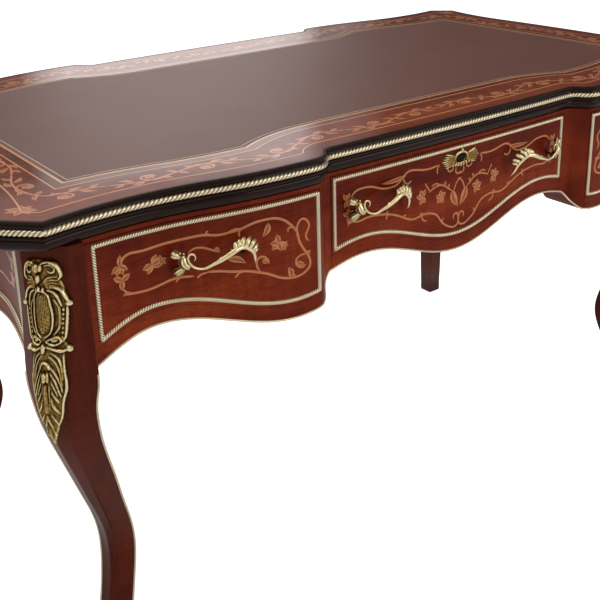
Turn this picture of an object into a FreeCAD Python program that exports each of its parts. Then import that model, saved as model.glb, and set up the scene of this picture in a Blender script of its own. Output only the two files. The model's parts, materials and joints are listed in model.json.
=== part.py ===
import FreeCAD, Part
import math
import os

# A serpentine flat-topped writing desk with three frieze drawers, four cabriole
# legs, shaped aprons, a leather writing surface and gilt bronze mounts.
# X runs along the length, the drawers open towards -Y and Z points up. The
# origin is on the floor, under the middle of the desk. Lengths are in mm.

Vector = FreeCAD.Vector

# Driving sizes of the whole desk
desk_height = 740.0
corner_reach = 1043.0       # x + y on the clipped corner of the top
bulge_x = 297.0             # crest of the swelling in front of each side drawer
bulge_y = 396.0
crown_y = 373.0             # middle of the long edge, over the centre drawer
crown_radius = 8000.0
step_hollow = 19.0          # small hollow beside the centre section
step_round = 34.0           # small round where the side section ends
valley_x = 560.0            # waist of the long edge, beside the leg
valley_y = 367.5
valley_radius_share = 0.42
end_crown_x = 690.0         # middle of the short edge
end_valley_x = 686.0
end_valley_y = 190.0
end_valley_radius_share = 0.135

# The top, its veneer, leather and moulded edge
top_thickness = 38.0
veneer_thickness = 0.6
veneer_drop = 0.2           # the moulding's lip stands this much above the veneer
moulding_depth = 22.0
lip_width = 6.0
fillet_inset = 1.0
fillet_height = 3.0
cove_depth = 3.0
cove_sink = 6.0
rope_radius = 4.0
rope_clearance = 0.3
rope_drop = 14.0
rope_inset = 3.2
rope_flats = 8
arris_inset = 0.5
arris_top = 19.3
arris_height = 2.5
arris_step = 1.2
ovolo_inset = 2.5
ovolo_bow_share = 0.24      # how far the big ovolo swells past its chord
ovolo_foot_inset = 9.0
ovolo_foot = 1.0
leather_thickness = 1.5
leather_drop = 0.3
end_border = 100.0          # veneer between the leather and the middle of an end
corner_border = 105.5       # the same beside the legs
cusp_border = 107.0         # the same at the bulge
waist_border = 119.0        # the same at the middle of the front
cusp_beyond_bulge = 41.0
waist_before_bulge = 82.0

# The frieze under the top
front_inset = 7.0           # faces of the front and the back, from the outermost line
end_inset = 22.0            # the same at the ends
frame_inner_y = 328.0       # flat inner faces of the fronts and the aprons
end_inner_x = 655.0
rail_height = 6.0
rail_inner_y = 300.0
front_gap = 1.0             # round each drawer front
apron_height = 21.0
side_edge_drop = 184.0       # lowest point of the side aprons, under the top
side_edge_rise = 44.0
side_edge_low_x = 325.0
side_edge_peak_x = 525.0
side_edge_leg_reach = 155.0
centre_edge_drop = 180.5
centre_edge_rise = 44.0
centre_edge_peak_x = 190.0
end_edge_drop = 171.0
end_edge_rise = 28.0
end_edge_peak_y = 215.0
end_edge_leg_reach = 130.0
stile_outer_x = 288.0
stile_inner_x = 250.0
stile_inner_y = 312.0
partition_thickness = 18.0
partition_drop = 160.0

# Legs: the curves are drawn by shares of the post height, the sway and the hollow
post_width = 60.0
post_clip = 41.0
corner_x = 677.5            # sharp outer corner of the post in plan
corner_y = 371.0
leg_sway = 88.0             # how far the foot stands in from the post's corner
leg_hollow = 66.0           # how far the shank's inner arris leaves the post
# height, outward reach of the outer arris, clip of that arris
outer_arris_shares = [
    (1.000, 0.00, 1.00),
    (0.926, 0.00, 1.00),
    (0.855, 0.02, 0.95),
    (0.783, 0.06, 0.80),
    (0.719, 0.06, 0.60),
    (0.677, 0.01, 0.46),
    (0.627, -0.10, 0.37),
    (0.570, -0.26, 0.31),
    (0.499, -0.47, 0.28),
    (0.420, -0.70, 0.24),
    (0.335, -0.93, 0.21),
    (0.271, -1.00, 0.19),
    (0.199, -0.91, 0.17),
    (0.114, -0.67, 0.16),
    (0.043, -0.41, 0.15),
    (0.000, -0.28, 0.17),
]
# height as a share of the apron's end, outward reach of the inner arris
inner_arris_shares = [
    (1.000, 0.000),
    (0.966, 0.020),
    (0.947, 0.050),
    (0.915, 0.075),
    (0.877, 0.050),
    (0.825, -0.025),
    (0.750, -0.190),
    (0.656, -0.425),
    (0.553, -0.665),
    (0.441, -0.925),
    (0.356, -1.000),
    (0.262, -0.850),
    (0.150, -0.515),
    (0.056, -0.150),
    (0.000, 0.015),
]

# Gilt trim
bead_width = 3.5
bead_proud = 2.0
bead_foot = 2.0             # the leg beads stop short of the floor
frame_rope_width = 6.0
frame_rope_proud = 3.0
frame_rope_drop = 12.0      # under the top
frame_rope_rise = 29.0      # above the lower edge of the apron
side_rope_outer_x = 604.0
side_rope_inner_x = 293.0
centre_rope_x = 244.0
end_rope_y = 303.0
mount_seat = 0.3
mount_sink = 2.0            # cut away where the casting is fitted to the leg
mount_length = 245.0
mount_top_drop = 16.0
mount_width = 58.0
mount_relief = 13.0
# height from the top, width and relief as shares of the mount's sizes
mount_station_shares = [
    (0.00, 0.72, 0.30),
    (0.10, 0.92, 0.70),
    (0.28, 0.86, 0.85),
    (0.40, 0.94, 1.00),
    (0.48, 0.70, 0.80),
    (0.56, 0.50, 0.95),
    (0.68, 0.44, 0.80),
    (0.82, 0.26, 0.60),
    (1.00, 0.08, 0.25),
]

# Drawers
drawer_length = 520.0       # from the inner face of the front to the back
drawer_side_thickness = 12.0
drawer_back_thickness = 12.0
drawer_bottom_thickness = 5.0
drawer_groove = 5.0
groove_clearance = 0.2
groove_height = 8.0         # under the drawer bottom
drawer_play = 3.0           # between a drawer side and the stile or post
side_box_drop = 114.0       # under side of the box, under the top
centre_box_drop = 110.0
box_top_drop = 20.0
box_back_drop = 10.0
running_gap = 0.3
runner_height = 20.0
runner_width = 40.0
guide_height = 14.0
kicker_gap = 2.0
stop_size = 14.0
stop_height = 24.0
corner_block_size = 30.0
fixing_x_shares = [0.25, 0.85]
fixing_inset = 22.0         # from the back face of a top rail
top_screw_bite = 18.0

# Handles, lock and escutcheon
handle_centre_side_x = 450.0
handle_centre_middle_x = 168.0
handle_drop = 65.0          # under the top
handle_length = 118.0
handle_fixings = 78.0
handle_foot_radius = 6.5
handle_stand_off = 20.0
handle_grip_radius = 5.0
handle_dip = 14.0
handle_crest = 16.0
handle_leaf_width = 15.0
handle_leaf_thickness = 6.0
grip_flats = 6
grip_stations = 6
screw_radius = 2.0
screw_head_radius = 4.5
screw_head_height = 2.5
screw_clearance = 0.2
screw_bite = 8.0
fastener_flats = 8
escutcheon_drop = 31.0
escutcheon_width = 66.0
escutcheon_height = 30.0
escutcheon_thickness = 3.0
# place along and across the plate, radius
lobe_shares = [(-0.62, 0.1, 0.62), (-0.2, 0.3, 0.7), (0.2, 0.3, 0.7), (0.62, 0.1, 0.62),
               (0, -0.35, 0.62)]
keyhole_radius = 2.6
keyhole_slot_width = 2.6
keyhole_slot_length = 9.0
lock_width = 60.0
lock_height = 36.0
lock_thickness = 12.0
bolt_width = 22.0
bolt_thickness = 5.0
bolt_length = 20.0
bolt_play = 0.3
bolt_travel = 5.0
mortise_room = 1.0

# Values that follow from the sizes above
overrun = 0.1 * desk_height
frame_top = desk_height - top_thickness
side_edge_low = frame_top - side_edge_drop
centre_edge_low = frame_top - centre_edge_drop
end_edge_low = frame_top - end_edge_drop
partition_low = frame_top - partition_drop
side_box_low = frame_top - side_box_drop
centre_box_low = frame_top - centre_box_drop
box_high = frame_top - box_top_drop
handle_z = frame_top - handle_drop
escutcheon_z = frame_top - escutcheon_drop
leather_half_length = end_crown_x - end_border
leather_corner_y = valley_y - corner_border
leather_cusp_x = bulge_x + cusp_beyond_bulge
leather_cusp_y = bulge_y - cusp_border
leather_waist_x = bulge_x - waist_before_bulge
leather_waist_y = crown_y - waist_border
rail_low = frame_top - rail_height
post_inner_x = corner_x - post_width
post_inner_y = corner_y - post_width
veneer_top = desk_height - veneer_drop
core_top = veneer_top - veneer_thickness
leather_top = desk_height - leather_drop
drawer_front_top = rail_low - front_gap
sample_count = 13


# Plan geometry: a point is (x, y) in the quarter where both are positive

def polar(centre, radius, angle):
    return (centre[0] + radius * math.cos(angle), centre[1] + radius * math.sin(angle))


def heading(start, end):
    return math.atan2(end[1] - start[1], end[0] - start[0])


def arc_points(centre, radius, start, end):
    middle = (start + end) / 2
    return [polar(centre, radius, angle) for angle in (start, middle, end)]


def crossing_of_circles(centre_a, radius_a, centre_b, radius_b):
    """The higher of the two points where two circles cross."""
    distance = math.dist(centre_a, centre_b)
    along = (distance ** 2 + radius_a ** 2 - radius_b ** 2) / (2 * distance)
    across = math.sqrt(radius_a ** 2 - along ** 2)
    angle = heading(centre_a, centre_b)
    foot = polar(centre_a, along, angle)
    quarter_turn = math.pi / 2
    ends = [polar(foot, across, angle + quarter_turn), polar(foot, across, angle - quarter_turn)]
    return max(ends, key=lambda point: point[1])


def clip_crossings(centre, radius, inset):
    """Both points where a circle crosses the clipped corner, by x."""
    reach = corner_reach - inset * math.sqrt(2)
    middle = (centre[0] + reach - centre[1]) / 2
    constant = centre[0] ** 2 + (reach - centre[1]) ** 2 - radius ** 2
    spread = math.sqrt(middle ** 2 - constant / 2)
    return [(x, reach - x) for x in (middle - spread, middle + spread)]


def swell_radii(run, rise, hollow_share):
    """Round and hollow radius of a flowing S that starts and ends level."""
    total = (run ** 2 + rise ** 2) / (2 * rise)
    return total * (1 - hollow_share), total * hollow_share


def long_edge_arcs(inset):
    """Half the long edge: crown, step, bulge and waist, up to the clipped corner."""
    bulge_radius, valley_radius = swell_radii(
        valley_x - bulge_x, bulge_y - valley_y, valley_radius_share)
    crown = (0, crown_y - crown_radius)
    corner = (bulge_x, bulge_y - step_round)
    hollow = crossing_of_circles(
        crown, crown_radius + step_hollow, corner, step_round + step_hollow)
    bulge = (bulge_x, bulge_y - bulge_radius)
    valley = (valley_x, valley_y + valley_radius)
    up = math.pi / 2
    end = clip_crossings(valley, valley_radius + inset, inset)[1]
    return [
        arc_points(crown, crown_radius - inset, up, heading(crown, hollow)),
        arc_points(hollow, step_hollow + inset, heading(hollow, crown), heading(hollow, corner)),
        arc_points(corner, step_round - inset, heading(corner, hollow), up),
        arc_points(bulge, bulge_radius - inset, up, heading(bulge, valley)),
        arc_points(valley, valley_radius + inset, heading(valley, bulge), heading(valley, end)),
    ]


def short_edge_arcs(inset):
    """Half the short edge, from its middle to the clipped corner."""
    crown_bow, valley_radius = swell_radii(
        end_valley_y, end_crown_x - end_valley_x, end_valley_radius_share)
    crown = (end_crown_x - crown_bow, 0)
    valley = (end_valley_x + valley_radius, end_valley_y)
    end = clip_crossings(valley, valley_radius + inset, inset)[0]
    turn = 2 * math.pi
    return [
        arc_points(crown, crown_bow - inset, 0, heading(crown, valley)),
        arc_points(valley, valley_radius + inset,
                   heading(valley, crown) % turn, heading(valley, end) % turn),
    ]


def clip_ends(inset):
    """Where the clipped corner meets the long and the short edge."""
    return long_edge_arcs(inset)[-1][-1], short_edge_arcs(inset)[-1][-1]


def edge_from(points, z, flip_x=1, flip_y=1):
    ends = [Vector(flip_x * x, flip_y * y, z) for x, y in points]
    if len(ends) == 2:
        return Part.makeLine(ends[0], ends[1])
    return Part.Arc(ends[0], ends[1], ends[2]).toShape()


def outline_face(inset, z):
    """The plan of the top, drawn in by the inset all round."""
    quarter = long_edge_arcs(inset) + [list(clip_ends(inset))] + short_edge_arcs(inset)
    edges = [edge_from(points, z, flip_x, flip_y)
             for flip_x in (1, -1) for flip_y in (1, -1) for points in quarter]
    return Part.Face(Part.Wire(Part.__sortEdges__(edges)))


def outline_prism(inset, low, high):
    return outline_face(inset, low).extrude(Vector(0, 0, high - low))


# Small helpers

def box(x0, x1, y0, y1, z0, z1):
    return Part.makeBox(x1 - x0, y1 - y0, z1 - z0, Vector(x0, y0, z0))


def mirror_x(shape):
    return shape.mirror(Vector(0, 0, 0), Vector(1, 0, 0))


def mirror_y(shape):
    return shape.mirror(Vector(0, 0, 0), Vector(0, 1, 0))


def smooth_edge(points):
    curve = Part.BSplineCurve()
    curve.interpolate(points)
    return curve.toShape()


def polygon_face(points):
    return Part.Face(Part.makePolygon(points + points[:1]))


def solids_of(shape):
    return list(shape.Solids)


def group(shapes):
    """Separate solids of one node."""
    return Part.makeCompound([solid for shape in shapes for solid in solids_of(shape)])


def keep_side(shape, point, along):
    """The part of a shape that lies behind a plane."""
    size = 4 * desk_height
    block = Part.makeBox(size, size, size, Vector(-size / 2, -size / 2, 0))
    block.Placement = FreeCAD.Placement(point, FreeCAD.Rotation(Vector(0, 0, 1), along))
    return shape.cut(block)


# Lower edges of the aprons, as heights above the floor

def wave(share):
    """0 at share 0, 1 at share 1, level at both."""
    return (1 - math.cos(math.pi * share)) / 2


def side_edge(x):
    if x < side_edge_peak_x:
        run = side_edge_peak_x - side_edge_low_x
    else:
        run = side_edge_leg_reach
    return side_edge_low + side_edge_rise * (1 - wave(abs(x - side_edge_peak_x) / run))


def centre_edge(x):
    return centre_edge_low + centre_edge_rise * wave(abs(x) / centre_edge_peak_x)


def stile_edge(x):
    share = (stile_outer_x - x) / (stile_outer_x - stile_inner_x)
    low = side_edge(stile_outer_x)
    return low + (centre_edge(stile_inner_x) - low) * wave(share)


def end_edge(y):
    peak = end_edge_low + end_edge_rise
    if abs(y) < end_edge_peak_y:
        return end_edge_low + end_edge_rise * wave(abs(y) / end_edge_peak_y)
    drop = peak - side_edge(post_inner_x)
    share = (abs(y) - end_edge_peak_y) / end_edge_leg_reach
    full = wave((post_inner_y - end_edge_peak_y) / end_edge_leg_reach)
    return peak - drop * wave(share) / full


def panel_face(edge, start, end, rise, top, along_y=False):
    """A face on a flat upright plane: shaped lower edge, level top."""
    def place(position, height):
        return Vector(0, position, height) if along_y else Vector(position, 0, height)
    positions = [start + (end - start) * i / (sample_count - 1) for i in range(sample_count)]
    lower = smooth_edge([place(p, edge(p) + rise) for p in positions])
    corners = [place(end, edge(end) + rise), place(end, top),
               place(start, top), place(start, edge(start) + rise)]
    straight = [Part.makeLine(a, b) for a, b in zip(corners, corners[1:])]
    return Part.Face(Part.Wire([lower] + straight))


def band_face(edge, start, end, low_rise, high_rise, along_y=False):
    """A strip on a flat upright plane between two heights above the lower edge."""
    def place(position, height):
        return Vector(0, position, height) if along_y else Vector(position, 0, height)
    positions = [start + (end - start) * i / (sample_count - 1) for i in range(sample_count)]
    lower = smooth_edge([place(p, edge(p) + low_rise) for p in positions])
    upper = smooth_edge([place(p, edge(p) + high_rise) for p in positions])
    ends = [Part.makeLine(place(p, edge(p) + low_rise), place(p, edge(p) + high_rise))
            for p in (start, end)]
    return Part.Face(Part.Wire(Part.__sortEdges__([lower, upper] + ends)))


def to_front(face, inner_y):
    """A flat face carried forward from the inner plane to well past the front."""
    moved = face.copy()
    moved.translate(Vector(0, -inner_y, 0))
    return moved.extrude(Vector(0, -desk_height / 2, 0))


def to_end(face, inner_x):
    moved = face.copy()
    moved.translate(Vector(inner_x, 0, 0))
    return moved.extrude(Vector(desk_height, 0, 0))


def skin_over(prism, inset, proud):
    """The thin shell that trim of a stated height fills on a face."""
    return outline_prism(inset - proud, 0, desk_height).cut(prism)


front_prism = outline_prism(front_inset, 0, desk_height)
front_bead_skin = skin_over(front_prism, front_inset, bead_proud)
front_rope_skin = skin_over(front_prism, front_inset, frame_rope_proud)
end_prism = outline_prism(end_inset, 0, desk_height)
end_bead_skin = skin_over(end_prism, end_inset, bead_proud)
end_rope_skin = skin_over(end_prism, end_inset, frame_rope_proud)


# The top

def leather_face(z):
    """Long panel with an ogee running to a cusp at each quarter."""
    hollow_run = leather_cusp_x - leather_waist_x
    hollow_rise = leather_cusp_y - leather_waist_y
    hollow_radius = (hollow_run ** 2 + hollow_rise ** 2) / (2 * hollow_rise)
    up = math.pi / 2
    hollow_centre = (leather_waist_x, leather_waist_y + hollow_radius)
    cusp = (leather_cusp_x, leather_cusp_y)
    corner = (leather_half_length, leather_corner_y)
    round_radius, flow_radius = swell_radii(
        corner[0] - cusp[0], cusp[1] - corner[1], 1 / 2)
    round_centre = (cusp[0], cusp[1] - round_radius)
    flow_centre = (corner[0], corner[1] + flow_radius)
    quarter = [
        [(0, leather_waist_y), (leather_waist_x, leather_waist_y)],
        arc_points(hollow_centre, hollow_radius, -up, heading(hollow_centre, cusp)),
        arc_points(round_centre, round_radius, up, heading(round_centre, flow_centre)),
        arc_points(flow_centre, flow_radius, heading(flow_centre, round_centre), -up),
        [corner, (corner[0], 0)],
    ]
    edges = [edge_from(points, z, flip_x, flip_y)
             for flip_x in (1, -1) for flip_y in (1, -1) for points in quarter]
    return Part.Face(Part.Wire(Part.__sortEdges__(edges)))


leather_low = leather_top - leather_thickness


def make_leather():
    return leather_face(leather_low).extrude(Vector(0, 0, leather_thickness))


def make_top_core():
    core = outline_prism(moulding_depth, frame_top, core_top)
    return core.cut(leather_face(leather_low).extrude(Vector(0, 0, overrun)))


def make_border_veneer():
    sheet = outline_prism(lip_width, core_top, veneer_top)
    return sheet.cut(leather_face(leather_low).extrude(Vector(0, 0, overrun)))


def moulding_section():
    """Half section of the edge: x is the inset, y the height over the underside."""
    top = top_thickness
    rope_centre = (rope_inset, top - rope_drop)
    flat = math.pi / rope_flats
    seat_radius = rope_radius + rope_clearance / math.cos(flat)
    seat_depth = seat_radius * math.cos(flat)
    cove_start = (fillet_inset, top - fillet_height)
    seat_high = (rope_inset, rope_centre[1] + seat_depth)
    seat_low = (rope_inset, rope_centre[1] - seat_depth)
    seat = [polar(rope_centre, seat_radius, flat * turn) for turn in (3, 1, -1, -3)]
    arris_y = top - arris_top
    arris_low = arris_y - arris_height
    ovolo_high = (ovolo_inset, arris_low - arris_step)
    ovolo_low = (ovolo_foot_inset, ovolo_foot)
    chord = math.dist(ovolo_high, ovolo_low)
    chord_middle = ((ovolo_high[0] + ovolo_low[0]) / 2, (ovolo_high[1] + ovolo_low[1]) / 2)
    outward = heading(ovolo_high, ovolo_low) - math.pi / 2
    return [
        [(moulding_depth, 0), (moulding_depth, core_top - frame_top)],
        [(moulding_depth, core_top - frame_top), (lip_width, core_top - frame_top)],
        [(lip_width, core_top - frame_top), (lip_width, top)],
        [(lip_width, top), (fillet_inset, top)],
        [(fillet_inset, top), cove_start],
        [cove_start, (fillet_inset + cove_depth, top - cove_sink), seat_high],
        [seat_high, seat[0]],
        [seat[0], seat[1]],
        [seat[1], seat[2]],
        [seat[2], seat[3]],
        [seat[3], seat_low],
        [seat_low, (arris_inset, arris_y)],
        [(arris_inset, arris_y), (arris_inset, arris_low)],
        [(arris_inset, arris_low), ovolo_high],
        [ovolo_high, polar(chord_middle, chord * ovolo_bow_share, outward), ovolo_low],
        [ovolo_low, (ovolo_foot_inset, 0)],
        [(ovolo_foot_inset, 0), (moulding_depth, 0)],
    ]


def section_wire(lines, origin, inward):
    """Stands a plan section upright at a point of the path."""
    def place(point):
        return Vector(origin.x + inward.x * point[0], origin.y + inward.y * point[0],
                      frame_top + point[1])
    edges = []
    for line in lines:
        ends = [place(point) for point in line]
        if len(ends) == 2:
            edges.append(Part.makeLine(ends[0], ends[1]))
        else:
            edges.append(Part.Arc(ends[0], ends[1], ends[2]).toShape())
    return Part.Wire(edges)


def swept_along(lines, edge):
    """Carries a section along one edge of a level path: a turned or a straight length."""
    start = edge.valueAt(edge.FirstParameter)
    tangent = edge.tangentAt(edge.FirstParameter)
    inward = Vector(-tangent.y, tangent.x, 0)
    face = Part.Face(section_wire(lines, start, inward))
    if edge.Curve.TypeId == "Part::GeomLine":
        return face.extrude(edge.valueAt(edge.LastParameter) - start)
    centre = edge.Curve.Center
    angle = math.degrees(edge.Length / edge.Curve.Radius)
    side = Vector(0, 0, 1).cross(start - centre).dot(tangent)
    return face.revolve(centre, Vector(0, 0, 1), math.copysign(angle, side))


def sweep_section(lines, path_edges):
    """A section swept along tangent arcs and lines, as one solid."""
    lengths = [swept_along(lines, edge) for edge in path_edges]
    if len(lengths) == 1:
        return lengths[0]
    return lengths[0].fuse(lengths[1:]).removeSplitter()


def long_run(lines):
    """The moulding of the front edge, past both corners, before its mitres."""
    arcs = long_edge_arcs(0)
    right = [edge_from(points, frame_top, 1, -1) for points in arcs]
    left = [edge_from(points[::-1], frame_top, -1, -1) for points in reversed(arcs)]
    last = right[-1]
    tip = last.valueAt(last.LastParameter)
    tangent = last.tangentAt(last.LastParameter)
    stub = moulding_depth * 2
    tail = Part.makeLine(tip, tip + tangent * stub)
    head = Part.makeLine(Vector(-tip.x - tangent.x * stub, tip.y + tangent.y * stub, tip.z),
                         Vector(-tip.x, tip.y, tip.z))
    return sweep_section(lines, [head] + left + right + [tail])


def short_run(lines):
    """The moulding of the right end, past both corners, before its mitres."""
    arcs = short_edge_arcs(0)
    back = [edge_from(points, frame_top, 1, 1) for points in arcs]
    front = [edge_from(points[::-1], frame_top, 1, -1) for points in reversed(arcs)]
    last = back[-1]
    tip = last.valueAt(last.LastParameter)
    tangent = last.tangentAt(last.LastParameter)
    stub = moulding_depth * 2
    tail = Part.makeLine(tip, tip + tangent * stub)
    head = Part.makeLine(Vector(tip.x + tangent.x * stub, -tip.y - tangent.y * stub, tip.z),
                         Vector(tip.x, -tip.y, tip.z))
    return sweep_section(lines, [head] + front + back + [tail])


def corner_run(lines):
    """The straight length on the clipped corner at the right of the front."""
    long_end, short_end = clip_ends(0)
    start = Vector(long_end[0], -long_end[1], frame_top)
    end = Vector(short_end[0], -short_end[1], frame_top)
    along = (end - start).normalize()
    stub = moulding_depth
    return sweep_section(lines, [Part.makeLine(start - along * stub, end + along * stub)])


def mitre(index):
    """Point and direction along the front-right mitre: 0 at the front, 1 at the end."""
    outer = clip_ends(0)[index]
    inner = clip_ends(moulding_depth)[index]
    point = Vector(outer[0], -outer[1], 0)
    line = Vector(inner[0] - outer[0], -(inner[1] - outer[1]), 0)
    return point, Vector(-line.y, line.x, 0).normalize()


def mitred_runs(lines):
    """Front run, right end run and front right corner run, cut to their mitres."""
    front_point, front_side = mitre(0)
    end_point, end_side = mitre(1)
    if front_side.x < 0:
        front_side = -front_side
    if end_side.y < 0:
        end_side = -end_side
    front = keep_side(long_run(lines), front_point, front_side)
    front = mirror_x(keep_side(mirror_x(front), front_point, front_side))
    end = keep_side(short_run(lines), end_point, -end_side)
    end = mirror_y(keep_side(mirror_y(end), end_point, -end_side))
    corner = keep_side(corner_run(lines), front_point, -front_side)
    corner = keep_side(corner, end_point, end_side)
    return front, end, corner


def four_corners(shape):
    return [shape, mirror_x(shape), mirror_y(shape), mirror_x(mirror_y(shape))]


def rope_section():
    """The rope as a bar of a few flats, its lay left out."""
    centre = (rope_inset, top_thickness - rope_drop)
    turn = 2 * math.pi / rope_flats
    corners = [polar(centre, rope_radius, turn * (i + 1 / 2)) for i in range(rope_flats)]
    return [[a, b] for a, b in zip(corners, corners[1:] + corners[:1])]


# Legs, each sawn from a square blank on both faces, then clipped on its outer arris

def inner_arris(post_inner):
    """Points down the inner arris of a leg, from the end of the apron to the foot."""
    spring = side_edge(post_inner_x)
    return [Vector(post_inner + leg_hollow * reach, 0, spring * height)
            for height, reach in inner_arris_shares]


def leg_profile(corner, post_inner):
    """Outline of a leg on one face: position out from the middle, then height."""
    outer = [Vector(corner + leg_sway * reach, 0, frame_top * height)
             for height, reach, clip in outer_arris_shares]
    inner = inner_arris(post_inner)
    top_inner = Vector(post_inner, 0, frame_top)
    edges = [smooth_edge(outer), smooth_edge(inner),
             Part.makeLine(top_inner, inner[0]),
             Part.makeLine(outer[0], top_inner),
             Part.makeLine(outer[-1], inner[-1])]
    return Part.Face(Part.Wire(Part.__sortEdges__(edges)))


def clip_profile():
    """What the clipped arris leaves, on the upright plane through the corner's diagonal."""
    curve = []
    for height, reach, clip in outer_arris_shares:
        out = (2 * leg_sway * reach - post_clip * clip) / math.sqrt(2)
        curve.append(Vector(out, 0, frame_top * height))
    inside = -4 * post_width
    ends = [curve[0], Vector(inside, 0, frame_top), Vector(inside, 0, 0), curve[-1]]
    straight = [Part.makeLine(a, b) for a, b in zip(ends, ends[1:])]
    return Part.Face(Part.Wire(Part.__sortEdges__([smooth_edge(curve)] + straight)))


def make_leg():
    """The back right leg."""
    reach = 2 * desk_height
    front = leg_profile(corner_x, post_inner_x).extrude(Vector(0, reach, 0))
    side = leg_profile(corner_y, post_inner_y).extrude(Vector(0, reach, 0))
    side = side.mirror(Vector(0, 0, 0), Vector(1, -1, 0))
    blank = front.common(side)
    keep = clip_profile().extrude(Vector(0, reach, 0))
    keep.translate(Vector(0, -reach / 2, 0))
    keep.rotate(Vector(0, 0, 0), Vector(0, 0, 1), 45)
    keep.translate(Vector(corner_x, corner_y, 0))
    return blank.common(keep)


# Frieze pieces

def make_top_rail():
    block = box(-post_inner_x, post_inner_x, -desk_height, -rail_inner_y, rail_low, frame_top)
    return block.common(front_prism)


def make_side_apron():
    """Right side apron at the front."""
    face = band_face(side_edge, stile_outer_x, post_inner_x, 0, apron_height)
    return to_front(face, frame_inner_y).common(front_prism)


def make_centre_apron():
    face = band_face(centre_edge, -stile_inner_x, stile_inner_x, 0, apron_height)
    return to_front(face, frame_inner_y).common(front_prism)


def make_stile():
    """Right front stile: carries the step between the side and the centre drawer."""
    face = panel_face(stile_edge, stile_inner_x, stile_outer_x, 0, rail_low)
    return to_front(face, stile_inner_y).common(front_prism)


def make_side_front():
    """Right side drawer front, shaped like the opening less its gap."""
    face = panel_face(side_edge, stile_outer_x + front_gap, post_inner_x - front_gap,
                      apron_height + front_gap, drawer_front_top)
    return to_front(face, frame_inner_y).common(front_prism)


def make_centre_front():
    face = panel_face(centre_edge, -stile_inner_x + front_gap, stile_inner_x - front_gap,
                      apron_height + front_gap, drawer_front_top)
    return to_front(face, frame_inner_y).common(front_prism)


def make_side_false_front():
    face = panel_face(side_edge, stile_outer_x, post_inner_x, apron_height, rail_low)
    return to_front(face, frame_inner_y).common(front_prism)


def make_centre_false_front():
    face = panel_face(centre_edge, -stile_inner_x, stile_inner_x, apron_height, rail_low)
    return to_front(face, frame_inner_y).common(front_prism)


def make_end_panel():
    """Right end, one panel down to its shaped edge."""
    face = panel_face(end_edge, -post_inner_y, post_inner_y, 0, frame_top, True)
    return to_end(face, end_inner_x).common(end_prism)


def make_partition():
    """Right partition, from stile to stile, let in under both top rails."""
    board = box(stile_outer_x - partition_thickness, stile_outer_x,
                -stile_inner_y, stile_inner_y, partition_low, frame_top)
    notch = box(0, stile_outer_x, -stile_inner_y, -rail_inner_y, rail_low, frame_top)
    return board.cut(notch).cut(mirror_y(notch))


# Rope frames and beads

def rope_frame(edge, start, end, low_rise, along_y=False):
    top = frame_top - frame_rope_drop
    half = frame_rope_width / 2
    outer = panel_face(edge, start - half, end + half, low_rise - half, top + half, along_y)
    inner = panel_face(edge, start + half, end - half, low_rise + half, top - half, along_y)
    return outer.cut(inner)


def make_side_rope():
    face = rope_frame(side_edge, side_rope_inner_x, side_rope_outer_x, frame_rope_rise)
    return to_front(face, frame_inner_y).common(front_rope_skin)


def make_centre_rope():
    face = rope_frame(centre_edge, -centre_rope_x, centre_rope_x, frame_rope_rise)
    return to_front(face, frame_inner_y).common(front_rope_skin)


def make_end_rope():
    face = rope_frame(end_edge, -end_rope_y, end_rope_y, frame_rope_rise, True)
    return to_end(face, end_inner_x).common(end_rope_skin)


def make_front_beads():
    """Beads along the lower edges of the front: sides, stiles and centre."""
    strips = [
        band_face(side_edge, stile_outer_x, post_inner_x, 0, bead_width),
        band_face(stile_edge, stile_inner_x, stile_outer_x, 0, bead_width),
        band_face(centre_edge, -stile_inner_x, stile_inner_x, 0, bead_width),
    ]
    side, stile, centre = [to_front(s, frame_inner_y).common(front_bead_skin) for s in strips]
    return side.fuse([stile, centre, mirror_x(stile), mirror_x(side)]).removeSplitter()


def make_end_bead():
    strip = band_face(end_edge, -post_inner_y, post_inner_y, 0, bead_width, True)
    return to_end(strip, end_inner_x).common(end_bead_skin)


def reach_of_outer_arris(height_share, column=1):
    """Outer arris reach, or its clip in column 2, at any height."""
    for upper, lower in zip(outer_arris_shares, outer_arris_shares[1:]):
        if height_share >= lower[0]:
            part = (height_share - lower[0]) / (upper[0] - lower[0])
            return lower[column] + (upper[column] - lower[column]) * part
    return outer_arris_shares[-1][column]


def make_leg_bead():
    """Bead down the inner arris of a leg's front face, from the apron to the foot."""
    arris = inner_arris(post_inner_x)
    width = Vector(bead_width, 0, 0)
    face_line = [Vector(0, corner_y + leg_sway * reach, frame_top * height)
                 for height, reach, clip in outer_arris_shares]
    proud = Vector(0, bead_proud, 0)
    front = strip_between(arris, [point + width for point in arris])
    side = strip_between(face_line, [point + proud for point in face_line])
    bead = front.extrude(Vector(0, 2 * desk_height, 0)).common(
        side.extrude(Vector(2 * desk_height, 0, 0)))
    return bead.common(box(0, desk_height, 0, desk_height, bead_foot, desk_height))


def strip_between(first, second):
    ends = [Part.makeLine(first[i], second[i]) for i in (0, -1)]
    edges = [smooth_edge(first), smooth_edge(second)] + ends
    return Part.Face(Part.Wire(Part.__sortEdges__(edges)))


def swap_faces(shape):
    """Turns what lies on a leg's front face onto its end face."""
    moved = shape.copy()
    moved.translate(Vector(-corner_x, -corner_y, 0))
    turned = moved.mirror(Vector(0, 0, 0), Vector(1, -1, 0))
    turned.translate(Vector(corner_x, corner_y, 0))
    return turned


# Corner mounts on the clipped corner of each post

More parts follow.
